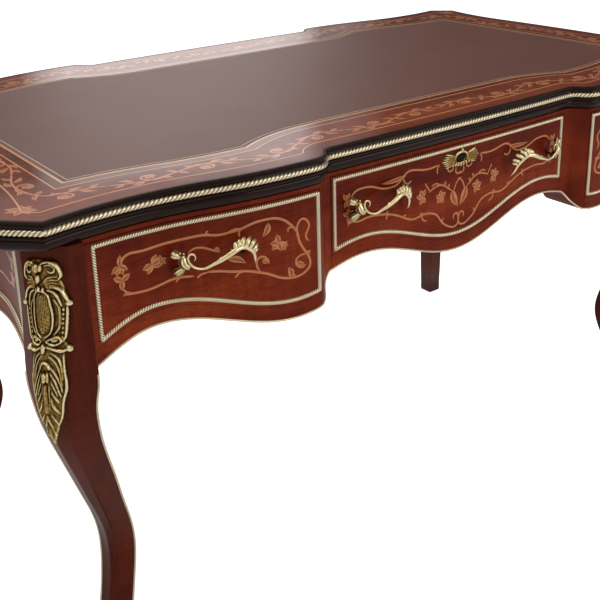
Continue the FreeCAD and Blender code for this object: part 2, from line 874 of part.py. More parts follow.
def mount_section(shares):
    """Low bowed section across the clip, in the quarter where x and y are positive."""
    drop_share, width_share, relief_share = shares
    z = frame_top - mount_top_drop - mount_length * drop_share
    height_share = z / frame_top
    reach = leg_sway * reach_of_outer_arris(height_share)
    clip = post_clip * reach_of_outer_arris(height_share, 2)
    centre = Vector(corner_x + reach - clip / 2, corner_y + reach - clip / 2, z)
    out = Vector(1, 1, 0).normalize()
    across = Vector(-1, 1, 0).normalize()
    half = mount_width * width_share / 2
    relief = mount_relief * relief_share
    seat = centre + out * mount_seat
    back = centre - out * mount_sink
    points = [
        back - across * half,
        seat - across * half,
        seat - across * half + out * relief / 3,
        seat - across * half / 2 + out * relief,
        seat + out * relief / 2,
        seat + across * half / 2 + out * relief,
        seat + across * half + out * relief / 3,
        seat + across * half,
        back + across * half,
    ]
    return Part.makePolygon(points + points[:1])


def make_mount(leg):
    """The casting of the back right leg, its back fitted to the leg."""
    sections = [mount_section(shares) for shares in mount_station_shares]
    return Part.makeLoft(sections, True, True).cut(leg)


# Drawer boxes

def box_side(outer_x, inward, low, high):
    """A drawer side with the groove for the bottom; inward is +1 or -1 along x."""
    x0, x1 = sorted((outer_x, outer_x + inward * drawer_side_thickness))
    board = box(x0, x1, -frame_inner_y, drawer_length - frame_inner_y, low, high)
    inner = outer_x + inward * drawer_side_thickness
    g0, g1 = sorted((inner, inner - inward * drawer_groove))
    groove = box(g0, g1, -frame_inner_y, drawer_length, low + groove_height,
                 low + groove_height + drawer_bottom_thickness)
    return board.cut(groove)


def box_back(x0, x1, low, high):
    y1 = drawer_length - frame_inner_y
    return box(x0 + drawer_side_thickness, x1 - drawer_side_thickness,
               y1 - drawer_back_thickness, y1,
               low + groove_height + drawer_bottom_thickness, high - box_back_drop)


def box_bottom(x0, x1, low):
    tuck = drawer_side_thickness - drawer_groove + groove_clearance
    return box(x0 + tuck, x1 - tuck, -frame_inner_y, drawer_length - frame_inner_y,
               low + groove_height + groove_clearance / 2,
               low + groove_height + drawer_bottom_thickness - groove_clearance / 2)


side_box_x0 = stile_outer_x + drawer_play
side_box_x1 = post_inner_x - drawer_play
centre_box_x = stile_inner_x - drawer_play


# Handles: a cast pull with a forked leaf at its outer end and a curl at the other

def front_face_y(x):
    """Depth of the serpentine frieze at a place along it."""
    probe = Part.makeLine(Vector(x, 0, desk_height / 2), Vector(x, -desk_height, desk_height / 2))
    hit = probe.common(front_prism)
    return hit.BoundBox.YMin


handle_centres = {
    "left": [-handle_centre_side_x],
    "centre": [-handle_centre_middle_x, handle_centre_middle_x],
    "right": [handle_centre_side_x],
}


def bent_bar(points, radius):
    """A bar of a few flats, carried by stations along the arc through three points."""
    arc = Part.Arc(points[0], points[1], points[2]).toShape()
    centre = arc.Curve.Center
    first, last = arc.FirstParameter, arc.LastParameter
    sections = []
    for step in range(grip_stations):
        place = first + (last - first) * step / (grip_stations - 1)
        point = arc.valueAt(place)
        outward = (point - centre).normalize()
        axis = outward.cross(arc.tangentAt(place))
        ring = []
        for i in range(grip_flats):
            out, side = polar((0, 0), radius, 2 * math.pi * i / grip_flats)
            ring.append(point + outward * out + axis * side)
        sections.append(Part.makePolygon(ring + ring[:1]))
    return Part.makeLoft(sections, True, True)


def leaf_plate(root, tip, width, thickness):
    """A pointed leaf from root to tip, upright and as thick as stated."""
    along = tip - root
    across = Vector(along.z, 0, -along.x).normalize() * (width / 2)
    middle = root + along / 2
    sides = [Part.Arc(root, middle + across * s, tip).toShape() for s in (1, -1)]
    face = Part.Face(Part.Wire(Part.__sortEdges__(sides)))
    face.translate(Vector(0, -thickness / 2, 0))
    return face.extrude(Vector(0, thickness, 0))


def make_handle(centre_x):
    """Right-hand pull: its forked leaf end is away from the middle of the desk."""
    outer_x = centre_x + handle_fixings / 2
    inner_x = centre_x - handle_fixings / 2
    face_y = min(front_face_y(outer_x), front_face_y(inner_x))
    grip_y = face_y - handle_stand_off
    start = Vector(outer_x, grip_y, handle_z)
    end = Vector(inner_x, grip_y, handle_z)
    pieces = []
    for x in (outer_x, inner_x):
        foot = prism(handle_foot_radius, -grip_y + handle_grip_radius,
                     Vector(x, 0, handle_z), Vector(0, -1, 0))
        pieces.append(foot.cut(front_prism))
    dip = Vector(centre_x + handle_fixings / 4, grip_y, handle_z - handle_dip)
    crest = Vector(centre_x - handle_fixings / 4, grip_y, handle_z + handle_crest / 2)
    middle = Vector(centre_x, grip_y, handle_z - handle_dip / 4)
    pieces.append(bent_bar((start, dip, middle), handle_grip_radius))
    pieces.append(bent_bar((middle, crest, end), handle_grip_radius))
    reach = (handle_length - handle_fixings) / 2
    high_leaf = start + Vector(reach, handle_leaf_thickness, handle_dip)
    low_leaf = start + Vector(reach / 2, handle_leaf_thickness, -handle_dip)
    crest_leaf = end + Vector(-reach / 3, 0, handle_crest)
    curl = end + Vector(-reach / 2, 0, -handle_crest)
    for tip in (high_leaf, low_leaf, crest_leaf, curl):
        pieces.append(leaf_plate(Vector((start if tip.x > centre_x else end).x, grip_y, handle_z),
                                 Vector(tip.x, grip_y, tip.z), handle_leaf_width,
                                 handle_leaf_thickness))
    body = pieces[0].fuse(pieces[1:])
    for x in (outer_x, inner_x):
        base = Vector(x, front_face_y(x) + screw_bite, handle_z)
        body = body.cut(prism(screw_radius + screw_clearance, 2 * screw_bite, base,
                              Vector(0, -1, 0)))
    return body.removeSplitter()


def prism(radius, length, base, along):
    """A pin or a pilot hole of a few flats."""
    ring = []
    for i in range(fastener_flats):
        x, z = polar((0, 0), radius, 2 * math.pi * i / fastener_flats)
        offset = Vector(x, 0, z) if along.z == 0 else Vector(x, z, 0)
        ring.append(base + offset)
    return polygon_face(ring).extrude(along * length)


def screw_axes(name):
    return [x + side * handle_fixings / 2 for x in handle_centres[name] for side in (-1, 1)]


def make_screws(name):
    screws = []
    for x in screw_axes(name):
        shank = -frame_inner_y - front_face_y(x) + screw_bite - bolt_play
        start = Vector(x, -frame_inner_y, handle_z)
        stem = prism(screw_radius, shank, start, Vector(0, -1, 0))
        head = prism(screw_head_radius, screw_head_height, start, Vector(0, 1, 0))
        screws.append(stem.fuse(head))
    return group(screws)


def drill(front, name):
    for x in screw_axes(name):
        hole = prism(screw_radius + screw_clearance, desk_height,
                     Vector(x, 0, handle_z), Vector(0, -1, 0))
        front = front.cut(hole)
    return front


# Lock and escutcheon of the centre drawer

def keyhole(y0, y1):
    depth = y1 - y0
    round_part = Part.makeCylinder(keyhole_radius, depth, Vector(0, y0, escutcheon_z),
                                   Vector(0, 1, 0))
    slot = box(-keyhole_slot_width / 2, keyhole_slot_width / 2, y0, y1,
               escutcheon_z - keyhole_slot_length, escutcheon_z)
    return round_part.fuse(slot)


def make_escutcheon():
    """Oval pierced plate with scrolled shoulders."""
    face_y = front_face_y(0)
    half_w = escutcheon_width / 2
    half_h = escutcheon_height / 2
    plate = None
    for x_share, z_share, size_share in lobe_shares:
        disc = Part.makeCylinder(half_h * size_share, 4 * escutcheon_thickness,
                                 Vector(half_w * x_share, face_y - escutcheon_thickness,
                                        escutcheon_z + half_h * z_share), Vector(0, 1, 0))
        plate = disc if plate is None else plate.fuse(disc)
    plate = plate.cut(keyhole(face_y - desk_height, 0))
    return plate.cut(front_prism.common(box(-half_w * 2, half_w * 2, -desk_height, 0, 0, desk_height)))


lock_high = drawer_front_top
lock_y = -frame_inner_y


def make_lock_case():
    """Case let into the back of the front, open upwards for the bolt."""
    case = box(-lock_width / 2, lock_width / 2, lock_y - lock_thickness, lock_y,
               lock_high - lock_height, lock_high)
    middle = lock_y - lock_thickness / 2
    well = box(-bolt_width / 2 - bolt_play, bolt_width / 2 + bolt_play,
               middle - bolt_thickness / 2 - bolt_play, middle + bolt_thickness / 2 + bolt_play,
               lock_high - bolt_length - 2 * bolt_play, lock_high + overrun)
    return case.cut(well).cut(keyhole(-desk_height, lock_y - lock_thickness / 2))


def make_lock_bolt():
    middle = lock_y - lock_thickness / 2
    return box(-bolt_width / 2, bolt_width / 2,
               middle - bolt_thickness / 2, middle + bolt_thickness / 2,
               lock_high - bolt_length - bolt_play, lock_high - bolt_play)


def lock_pocket():
    return box(-lock_width / 2, lock_width / 2, lock_y - lock_thickness, 0,
               lock_high - lock_height, lock_high + overrun)


def bolt_mortise():
    middle = lock_y - lock_thickness / 2
    room = bolt_play + mortise_room
    return box(-bolt_width / 2 - room, bolt_width / 2 + room,
               middle - bolt_thickness / 2 - room, middle + bolt_thickness / 2 + room,
               rail_low - overrun, rail_low + bolt_travel + room)


# Runners, guides, kickers, stops and blocks inside the frame

def both_sides(shape):
    return [shape, mirror_x(shape)]


def make_runners():
    """One under each drawer side, between the front and the back apron."""
    side_high = side_box_low - running_gap
    centre_high = centre_box_low - running_gap
    y = frame_inner_y
    inner = box(stile_outer_x, stile_outer_x + runner_width, -y, y,
                side_high - runner_height, side_high)
    outer = box(post_inner_x - runner_width, end_inner_x, -post_inner_y, post_inner_y,
                side_high - runner_height, side_high)
    partition_x = stile_outer_x - partition_thickness
    centre = box(partition_x - runner_width, partition_x, -stile_inner_y, stile_inner_y,
                 centre_high - runner_height, centre_high)
    return group(both_sides(inner) + both_sides(outer) + both_sides(centre))


def make_guides():
    """Keep a side drawer clear of the end, and the centre one clear of the partition."""
    side_low = side_box_low - running_gap
    centre_low = centre_box_low - running_gap
    partition_x = stile_outer_x - partition_thickness
    outer = box(post_inner_x - drawer_play + running_gap, end_inner_x, -post_inner_y, post_inner_y,
                side_low, side_low + guide_height)
    centre = box(centre_box_x + running_gap, partition_x, -stile_inner_y, stile_inner_y,
                 centre_low, centre_low + guide_height)
    return group(both_sides(outer) + both_sides(centre))


def make_kickers():
    """Stop a drawer from tipping as it is pulled out."""
    low = box_high + kicker_gap
    inner = box(stile_outer_x, stile_outer_x + runner_width, -rail_inner_y, rail_inner_y,
                low, frame_top)
    outer = box(post_inner_x - runner_width, end_inner_x, -rail_inner_y, rail_inner_y,
                low, frame_top)
    partition_x = stile_outer_x - partition_thickness
    centre = box(partition_x - runner_width, partition_x, -rail_inner_y, rail_inner_y,
                 low, frame_top)
    return group(both_sides(inner) + both_sides(outer) + both_sides(centre))


def make_stops():
    """Blocks on the runners behind each drawer side."""
    y0 = drawer_length - frame_inner_y + running_gap
    side_low = side_box_low - running_gap
    centre_low = centre_box_low - running_gap
    blocks = []
    for x, low in ((side_box_x0, side_low), (side_box_x1 - stop_size, side_low),
                   (centre_box_x - stop_size, centre_low)):
        block = box(x, x + stop_size, y0, y0 + 2 * stop_size, low, low + stop_height)
        blocks += both_sides(block)
    return group(blocks)


def make_corner_blocks():
    """Blocks glued in the angle between each post and the end panel."""
    size = corner_block_size
    high = side_box_low - running_gap - runner_height
    block = box(end_inner_x - size, end_inner_x, post_inner_y - size, post_inner_y,
                side_edge(post_inner_x) + apron_height, high)
    return group(four_corners(block))


def fixing_places():
    """Where the top is screwed down through the front and the back rail."""
    places = []
    for x_share in fixing_x_shares:
        for side in (-1, 1):
            places.append((side * post_inner_x * x_share, -rail_inner_y - fixing_inset))
    return places


def make_top_screws():
    screws = []
    for x, y in fixing_places():
        base = Vector(x, y, rail_low)
        stem = prism(screw_radius, rail_height + top_screw_bite, base, Vector(0, 0, 1))
        head = prism(screw_head_radius, screw_head_height, base, Vector(0, 0, -1))
        screws.append(stem.fuse(head))
    return screws


def screw_holes():
    holes = []
    for x, y in fixing_places():
        hole = prism(screw_radius + screw_clearance,
                     rail_height + top_screw_bite + screw_clearance,
                     Vector(x, y, rail_low), Vector(0, 0, 1))
        holes += [hole, mirror_y(hole)]
    return group(holes)


# Writing the pieces

def save(name, shape):
    shape.exportStep("parts/" + name + ".step")


def main():
    os.makedirs("parts", exist_ok=True)

    holes = screw_holes()
    save("top_core", make_top_core().cut(holes))
    save("top_border_veneer", make_border_veneer())
    save("leather_writing_surface", make_leather())
    front_run, end_run, corner_piece = mitred_runs(moulding_section())
    save("top_moulding_front", front_run)
    save("top_moulding_back", mirror_y(front_run))
    save("top_moulding_ends", group([end_run, mirror_x(end_run)]))
    save("top_moulding_corners", group(four_corners(corner_piece)))
    rope_front, rope_end, rope_corner = mitred_runs(rope_section())
    save("top_rope_moulding", group([rope_front, mirror_y(rope_front), rope_end,
                                     mirror_x(rope_end)] + four_corners(rope_corner)))

    leg = make_leg()
    save("leg_back_right", leg)
    save("leg_back_left", mirror_x(leg))
    save("leg_front_right", mirror_y(leg))
    save("leg_front_left", mirror_x(mirror_y(leg)))

    rail = make_top_rail().cut(holes)
    save("front_top_rail", rail.cut(bolt_mortise()))
    save("back_top_rail", mirror_y(rail))
    end_panel = make_end_panel()
    save("end_panel_right", end_panel)
    save("end_panel_left", mirror_x(end_panel))
    side_apron = make_side_apron()
    centre_apron = make_centre_apron()
    save("front_apron_right", side_apron)
    save("front_apron_left", mirror_x(side_apron))
    save("front_apron_centre", centre_apron)
    save("back_aprons", group([mirror_y(s) for s in both_sides(side_apron) + [centre_apron]]))
    stile = make_stile()
    save("front_stiles", group(both_sides(stile)))
    save("back_stiles", group([mirror_y(s) for s in both_sides(stile)]))
    side_false = mirror_y(make_side_false_front())
    save("back_false_fronts", group(both_sides(side_false) + [mirror_y(make_centre_false_front())]))
    partition = make_partition()
    save("partition_right", partition)
    save("partition_left", mirror_x(partition))
    save("drawer_runners", make_runners())
    save("drawer_guides", make_guides())
    save("drawer_kickers", make_kickers())
    save("drawer_stops", make_stops())
    save("corner_blocks", make_corner_blocks())
    top_screws = make_top_screws()
    save("top_fixing_screws", group(top_screws + [mirror_y(screw) for screw in top_screws]))

    side_rope = make_side_rope()
    centre_rope = make_centre_rope()
    end_rope = make_end_rope()
    save("end_rope_frames", group(both_sides(end_rope)))
    save("back_rope_frames", group([mirror_y(s) for s in both_sides(side_rope) + [centre_rope]]))
    front_beads = make_front_beads()
    leg_bead = make_leg_bead()
    save("edge_beads", group([front_beads, mirror_y(front_beads)] + both_sides(make_end_bead())
                             + four_corners(leg_bead) + four_corners(swap_faces(leg_bead))))
    mount = make_mount(leg)
    save("leg_mounts_front", group(both_sides(mirror_y(mount))))
    save("leg_mounts_back", group(both_sides(mount)))

    side_front = make_side_front()
    centre_front = make_centre_front()
    fronts = {
        "left": drill(mirror_x(side_front), "left"),
        "centre": drill(centre_front, "centre"),
        "right": drill(side_front, "right"),
    }
    fronts["centre"] = fronts["centre"].cut(lock_pocket()).cut(keyhole(-desk_height, 0))
    ropes = {"left": mirror_x(side_rope), "centre": centre_rope, "right": side_rope}
    extents = {
        "left": (-side_box_x1, -side_box_x0, side_box_low),
        "centre": (-centre_box_x, centre_box_x, centre_box_low),
        "right": (side_box_x0, side_box_x1, side_box_low),
    }
    side_handle = make_handle(handle_centre_side_x)
    middle_handle = make_handle(handle_centre_middle_x)
    handles = {"left": [mirror_x(side_handle)], "centre": both_sides(middle_handle),
               "right": [side_handle]}
    for name, (x0, x1, low) in extents.items():
        prefix = "drawer_" + name + "_"
        save(prefix + "front", fronts[name])
        save(prefix + "rope_frame", ropes[name])
        save(prefix + "sides", group([box_side(x0, 1, low, box_high), box_side(x1, -1, low, box_high)]))
        save(prefix + "back", box_back(x0, x1, low, box_high))
        save(prefix + "bottom", box_bottom(x0, x1, low))
        save(prefix + "handles", group(handles[name]))
        save(prefix + "handle_screws", make_screws(name))
    save("escutcheon", make_escutcheon())
    save("lock_case", make_lock_case())
    save("lock_bolt", make_lock_bolt())


main()
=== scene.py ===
import json
import math

import bpy
import numpy as np
from mathutils import Matrix, Vector


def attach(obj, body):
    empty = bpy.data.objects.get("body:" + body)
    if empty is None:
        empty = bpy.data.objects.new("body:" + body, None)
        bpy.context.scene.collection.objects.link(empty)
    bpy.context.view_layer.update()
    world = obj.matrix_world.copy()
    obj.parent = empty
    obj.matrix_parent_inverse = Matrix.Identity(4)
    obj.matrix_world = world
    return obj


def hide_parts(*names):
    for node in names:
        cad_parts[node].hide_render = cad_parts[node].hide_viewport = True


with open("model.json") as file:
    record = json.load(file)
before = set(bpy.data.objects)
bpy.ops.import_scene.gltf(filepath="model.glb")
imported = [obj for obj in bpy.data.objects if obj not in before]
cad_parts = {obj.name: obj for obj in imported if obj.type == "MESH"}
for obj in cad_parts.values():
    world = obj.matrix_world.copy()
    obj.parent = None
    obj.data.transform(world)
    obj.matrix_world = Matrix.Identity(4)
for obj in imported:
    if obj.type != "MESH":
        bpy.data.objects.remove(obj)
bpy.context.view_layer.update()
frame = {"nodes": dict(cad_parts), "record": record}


# Mahogany of the legs, aprons, stiles and drawer fronts
# Sliced mahogany veneer on a solid carcase, stained red brown and finished in clear polyester
# lacquer that was flatted and buffed. Lengths in this file are millimetres until a mesh is made.

def linear(hex_colour):
    """sRGB hex to linear RGBA: the standard curve, straight near black and a power above."""
    values = np.array([int(hex_colour[i:i + 2], 16) / 255 for i in (1, 3, 5)])
    curve = np.where(values <= 0.04045, values / 12.92, ((values + 0.055) / 1.055) ** 2.4)
    return (*curve, 1.0)


def new_material(name):
    """An empty material and its node tree."""
    material = bpy.data.materials.new(name)
    material.use_nodes = True
    material.node_tree.nodes.clear()
    return material, material.node_tree


def add_node(tree, kind, inputs=None, stops=None, **settings):
    """Adds one shader node. Settings are its own properties, inputs its sockets by name or
    number, each a value or another node's output, and stops the colours of a ramp."""
    node = tree.nodes.new("ShaderNode" + kind)
    for name, value in settings.items():
        setattr(node, name, value)
    for name, value in (inputs or {}).items():
        if isinstance(value, bpy.types.NodeSocket):
            tree.links.new(value, node.inputs[name])
        else:
            node.inputs[name].default_value = value
    if stops:
        ramp = node.color_ramp.elements
        for end, (position, colour) in ((0, stops[0]), (1, stops[-1])):
            ramp[end].position = position
            ramp[end].color = linear(colour)
        for position, colour in stops[1:-1]:
            ramp.new(position).color = linear(colour)
    return node


def weighted(tree, value, weight, rest):
    """A value times its weight plus the rest."""
    return add_node(tree, "Math", {0: value, 1: weight, 2: rest},
                    operation="MULTIPLY_ADD").outputs[0]


def close_material(tree, inputs):
    """Ends a material in one principled shader with these inputs."""
    shader = add_node(tree, "BsdfPrincipled", inputs)
    add_node(tree, "OutputMaterial", {"Surface": shader.outputs[0]})


grain_axes = {"x": (0, 1, 1), "y": (1, 0, 1), "z": (1, 1, 0)}


def stretched_noise(tree, place, grain, along, across, detail=3.0):
    """Noise whose cells are along mm long on the grain axis and across mm wide off it."""
    off_axis = np.array(grain_axes[grain])
    scale = off_axis * (1000 / across) + (1 - off_axis) * (1000 / along)
    mapped = add_node(tree, "Mapping", {"Vector": place, "Scale": tuple(scale)})
    return add_node(tree, "TexNoise", {"Vector": mapped.outputs[0], "Scale": 1.0,
                                       "Detail": detail, "Roughness": 0.55}).outputs["Fac"]


def lacquered_veneer(name, colours, grain, gloss):
    """Veneer under clear lacquer: broad bands, fine fibres and a faint ripple across the
    grain are added up and read through a ramp, then short dark pores are laid over it."""
    material, tree = new_material(name)
    place = add_node(tree, "TexCoord").outputs["Object"]
    bands = stretched_noise(tree, place, grain, 600, 90)
    fibres = stretched_noise(tree, place, grain, 140, 2.6)
    ripple = stretched_noise(tree, place, grain, 14, 120)
    mixed = weighted(tree, ripple, 0.14, weighted(tree, bands, 0.5, weighted(tree, fibres, 0.2, 0.12)))
    colour = add_node(tree, "ValToRGB", {"Fac": mixed}, stops=colours).outputs[0]
    pores = stretched_noise(tree, place, grain, 16, 0.9, 1.0)
    open_pore = add_node(tree, "ValToRGB", {"Fac": pores},
                         stops=[(0.34, "#d8cdc8"), (0.42, "#ffffff")]).outputs[0]
    wood = add_node(tree, "Mix", {"Factor": 1.0, 6: colour, 7: open_pore},
                    data_type="RGBA", blend_type="MULTIPLY").outputs[2]
    waves = add_node(tree, "TexNoise", {"Vector": place, "Scale": 22.0, "Detail": 1.0})
    skin = add_node(tree, "Bump", {"Height": waves.outputs["Fac"], "Strength": 0.06,
                                   "Distance": 0.002}).outputs[0]
    close_material(tree, {
        "Base Color": wood, "Roughness": 0.42, "IOR": 1.5, "Specular IOR Level": 0.03,
        "Coat Weight": gloss, "Coat Roughness": 0.05, "Coat IOR": 1.5, "Coat Normal": skin})
    return material


mahogany_stain = [(0.34, "#3f0f05"), (0.46, "#591908"), (0.56, "#73260e"), (0.68, "#8c3a18")]
# The legs take a darker copy of the same mahogany stain: painted shade that keeps them darker than the
# fronts.
leg_stain_darkened_as_painted_shade = [(0.34, "#330d05"), (0.48, "#491607"), (0.66, "#62240d")]
mahogany_along = lacquered_veneer("mahogany_lacquered_along_x", mahogany_stain, "x", 0.1)
mahogany_ends = lacquered_veneer("mahogany_lacquered_along_y", mahogany_stain, "y", 0.12)
mahogany_upright = lacquered_veneer("mahogany_lacquered_upright", leg_stain_darkened_as_painted_shade, "z", 0.1)
nodes = frame["nodes"]


def finish_nodes(material, *names):
    """Gives CAD nodes a material in place of their own."""
    for name in names:
        nodes[name].data.materials.clear()
        nodes[name].data.materials.append(material)


finish_nodes(mahogany_along, "front_top_rail", "back_top_rail", "front_apron_left",
             "front_apron_centre", "front_apron_right", "back_aprons", "back_false_fronts",
             "front_stiles", "back_stiles", "drawer_left_front", "drawer_centre_front",
             "drawer_right_front")
finish_nodes(mahogany_ends, "end_panel_left", "end_panel_right")


# Plan of the serpentine top
# The outline is made of tangent arcs, as the maker struck it out on the core board: a flat
# crown over the centre drawer, a step, a swelling over each side drawer and a waist.

frame_top = 702.0
corner_reach = 1043.0
bulge = (297.0, 396.0)
waist = (560.0, 367.5)
crown_y = 373.0
crown_radius = 8000.0
step_hollow = 19.0
step_round = 34.0
end_crown_x = 690.0
end_waist = (686.0, 190.0)


def polar(centre, radius, angle):
    return (centre[0] + radius * math.cos(angle), centre[1] + radius * math.sin(angle))


def heading(start, end):
    return math.atan2(end[1] - start[1], end[0] - start[0])


def arc(centre, radius, start, end, step):
    """Points on a circle at even angles from start to end, about one step apart."""
    count = max(7, int(abs(end - start) * radius / step) + 2)
    angle = np.linspace(start, end, count)
    return np.stack([centre[0] + radius * np.cos(angle), centre[1] + radius * np.sin(angle)], 1)


def swell_radii(run, rise, hollow_share):
    """Round and hollow radius of a level S curve: together (run squared + rise squared) / 2 rise."""
    total = (run ** 2 + rise ** 2) / (2 * rise)
    return total * (1 - hollow_share), total * hollow_share


def clip_crossings(centre, radius):
    """Both places where a circle crosses the line x + y = corner_reach, by x."""
    middle = (centre[0] + corner_reach - centre[1]) / 2
    constant = centre[0] ** 2 + (corner_reach - centre[1]) ** 2 - radius ** 2
    spread = math.sqrt(middle ** 2 - constant / 2)
    return [(x, corner_reach - x) for x in (middle - spread, middle + spread)]


def all_round(quarter):
    """A closed outline, counter-clockwise, from the quarter that runs from the middle of the
    back to the middle of the right end: the quarter is mirrored, and repeated points dropped."""
    turned = quarter[::-1]
    points = np.concatenate([turned, quarter * (-1, 1), turned * (-1, -1), quarter * (1, -1)])
    step = np.linalg.norm(points - np.roll(points, 1, axis=0), axis=1)
    return points[step > 1e-6]


def top_outline(step):
    """The outermost line of the top in plan, with points about one step apart."""
    bulge_radius, waist_radius = swell_radii(waist[0] - bulge[0], bulge[1] - waist[1], 0.42)
    crown = (0, crown_y - crown_radius)
    corner = (bulge[0], bulge[1] - step_round)
    reach = crown_radius + step_hollow
    gap = math.dist(crown, corner)
    along = (gap ** 2 + reach ** 2 - (step_round + step_hollow) ** 2) / (2 * gap)
    foot = polar(crown, along, heading(crown, corner))
    hollow = polar(foot, math.sqrt(reach ** 2 - along ** 2), heading(crown, corner) + math.pi / 2)
    swelling = (bulge[0], bulge[1] - bulge_radius)
    valley = (waist[0], waist[1] + waist_radius)
    bow, end_radius = swell_radii(end_waist[1], end_crown_x - end_waist[0], 0.135)
    end_crown = (end_crown_x - bow, 0)
    end_valley = (end_waist[0] + end_radius, end_waist[1])
    up, turn = math.pi / 2, 2 * math.pi
    long_end = clip_crossings(valley, waist_radius)[1]
    short_end = clip_crossings(end_valley, end_radius)[0]
    count = max(3, int(math.dist(long_end, short_end) / step) + 2)
    clip = np.linspace(long_end, short_end, count)
    return all_round(np.concatenate([
        arc(crown, crown_radius, up, heading(crown, hollow), step),
        arc(hollow, step_hollow, heading(hollow, crown) + turn, heading(hollow, corner) + turn, step),
        arc(corner, step_round, heading(corner, hollow), up, step),
        arc(swelling, bulge_radius, up, heading(swelling, valley), step),
        arc(valley, waist_radius, heading(valley, swelling), heading(valley, long_end), step),
        clip,
        arc(end_valley, end_radius, heading(end_valley, short_end) % turn,
            heading(end_valley, end_crown) % turn, step),
        arc(end_crown, bow, heading(end_crown, end_valley), 0, step),
    ]))


def mitres(points):
    """Inward offset of each point of a closed outline for 1 mm of inset: the sum of both
    neighbouring edge normals over one plus their dot product, so corners stay mitred."""
    ahead = np.roll(points, -1, axis=0) - points
    ahead /= np.linalg.norm(ahead, axis=1)[:, None]
    normal = np.stack([-ahead[:, 1], ahead[:, 0]], 1)
    before = np.roll(normal, 1, axis=0)
    return (normal + before) / (1 + (normal * before).sum(1))[:, None]


def grid_faces(rows, columns, wrap_rows=False, wrap_columns=False):
    """Quads of a grid of points; each face looks along its row step crossed with its column step."""
    index = np.arange(rows * columns).reshape(rows, columns)
    if wrap_rows:
        index = np.concatenate([index, index[:1]])
    if wrap_columns:
        index = np.concatenate([index, index[:, :1]], axis=1)
    corners = [index[:-1, :-1], index[1:, :-1], index[1:, 1:], index[:-1, 1:]]
    return np.stack(corners, -1).reshape(-1, 4)


def add_piece(name, points, faces, material, body, uv=None, tone=None, sharp=35):
    """Puts points in mm and a list of face arrays into a mesh, smooth but for edges sharper
    than the stated degrees, with an optional UV map and tone for each point."""
    mesh = bpy.data.meshes.new(name)
    corners = np.concatenate([group.ravel() for group in faces])
    sizes = np.concatenate([np.full(len(group), group.shape[1]) for group in faces])
    mesh.vertices.add(len(points))
    mesh.vertices.foreach_set("co", (np.asarray(points) * 0.001).astype(np.float32).ravel())
    mesh.loops.add(len(corners))
    mesh.loops.foreach_set("vertex_index", corners.astype(np.int32))
    mesh.polygons.add(len(sizes))
    mesh.polygons.foreach_set("loop_start", (np.cumsum(sizes) - sizes).astype(np.int32))
    mesh.polygons.foreach_set("use_smooth", np.ones(len(sizes), bool))
    mesh.update(calc_edges=True)
    mesh.set_sharp_from_angle(angle=math.radians(sharp))
    if uv is not None:
        layer = mesh.uv_layers.new(name="UVMap")
        layer.data.foreach_set("uv", (uv * 0.001).astype(np.float32)[corners].ravel())
    if tone is not None:
        tones = mesh.attributes.new("tone", "FLOAT", "POINT")
        tones.data.foreach_set("value", np.asarray(tone, np.float32).ravel())
    mesh.materials.append(material)
    piece = bpy.data.objects.new(name, mesh)
    bpy.context.scene.collection.objects.link(piece)
    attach(piece, body)
    return piece


# Ebonised moulded edge of the top
# Fruitwood run with a lip, a cove, a seat for the gilt rope, an arris and a large ovolo that
# turns under, stained black and lacquered. It is mitred at the clipped corners.

ebony, tree = new_material("fruitwood_ebonised_lacquered")
place = add_node(tree, "TexCoord").outputs["Object"]
streaks = stretched_noise(tree, place, "x", 90, 1.6)
black = add_node(tree, "ValToRGB", {"Fac": streaks},
                 stops=[(0.40, "#150804"), (0.62, "#261007")]).outputs[0]
close_material(tree, {
    "Base Color": black, "Roughness": 0.4, "IOR": 1.5, "Specular IOR Level": 0.05,
    "Coat Weight": 0.2, "Coat Roughness": 0.05, "Coat IOR": 1.5})


def eased(corners, radius):
    """A closed outline with every corner cut by a short flat: each point becomes two, set
    back along both edges by the radius or a third of the edge."""
    ahead = np.roll(corners, -1, axis=0) - corners
    length = np.linalg.norm(ahead, axis=1)[:, None]
    cut = np.minimum(radius, length / 3) / length
    first = corners - np.roll(ahead * cut, 1, axis=0)
    second = corners + ahead * cut
    return np.stack([first, second], 1).reshape(-1, 2)


rope_inset = 3.2
rope_height = 24.0
seat_radius = 4.35
seat_angles = np.radians([-67.5, -22.5, 22.5, 67.5])
ovolo_low, ovolo_high = np.array([9.0, 1.0]), np.array([2.5, 15.0])
bow_angle = np.linspace(0, math.pi, 15)[1:-1]
chord = ovolo_high - ovolo_low
outward = np.array([-chord[1], chord[0]]) / np.linalg.norm(chord)
ovolo = (ovolo_low + np.outer((1 - np.cos(bow_angle)) / 2, chord)
         + np.outer(np.sin(bow_angle) * 4.5, outward))
cove_angle = np.linspace(0, math.pi, 7)[1:-1]
cove = np.stack([3.2 - 2.2 * (cove_angle / math.pi) + 1.6 * np.sin(cove_angle),
                 28.0 + 7.0 * (cove_angle / math.pi)], 1)
seat = np.stack([rope_inset + seat_radius * np.cos(seat_angles),
                 rope_height + seat_radius * np.sin(seat_angles)], 1)
profile = np.concatenate([
    [(22.0, 0.0), (9.0, 0.0)], [ovolo_low], ovolo, [ovolo_high],
    [(0.5, 16.2), (0.5, 18.7), (3.2, 20.0)], seat, [(3.2, 28.0)], cove,
    [(1.0, 35.0), (1.0, 38.0), (6.0, 38.0), (6.0, 37.2), (22.0, 37.2)]])
section = eased(profile, 0.45)
path = top_outline(9.0)
ring = path[:, None] + section[None, :, :1] * mitres(path)[:, None]
heights = np.broadcast_to(frame_top + section[None, :, 1:], ring.shape[:2] + (1,))
points = np.concatenate([ring, heights], axis=2)
faces = grid_faces(len(path), len(section), True, True)
edge = add_piece("top_moulded_edge", points.reshape(-1, 3), [faces], ebony, "carcass",
                 sharp=20)
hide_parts("top_moulding_front", "top_moulding_back", "top_moulding_ends",
            "top_moulding_corners")


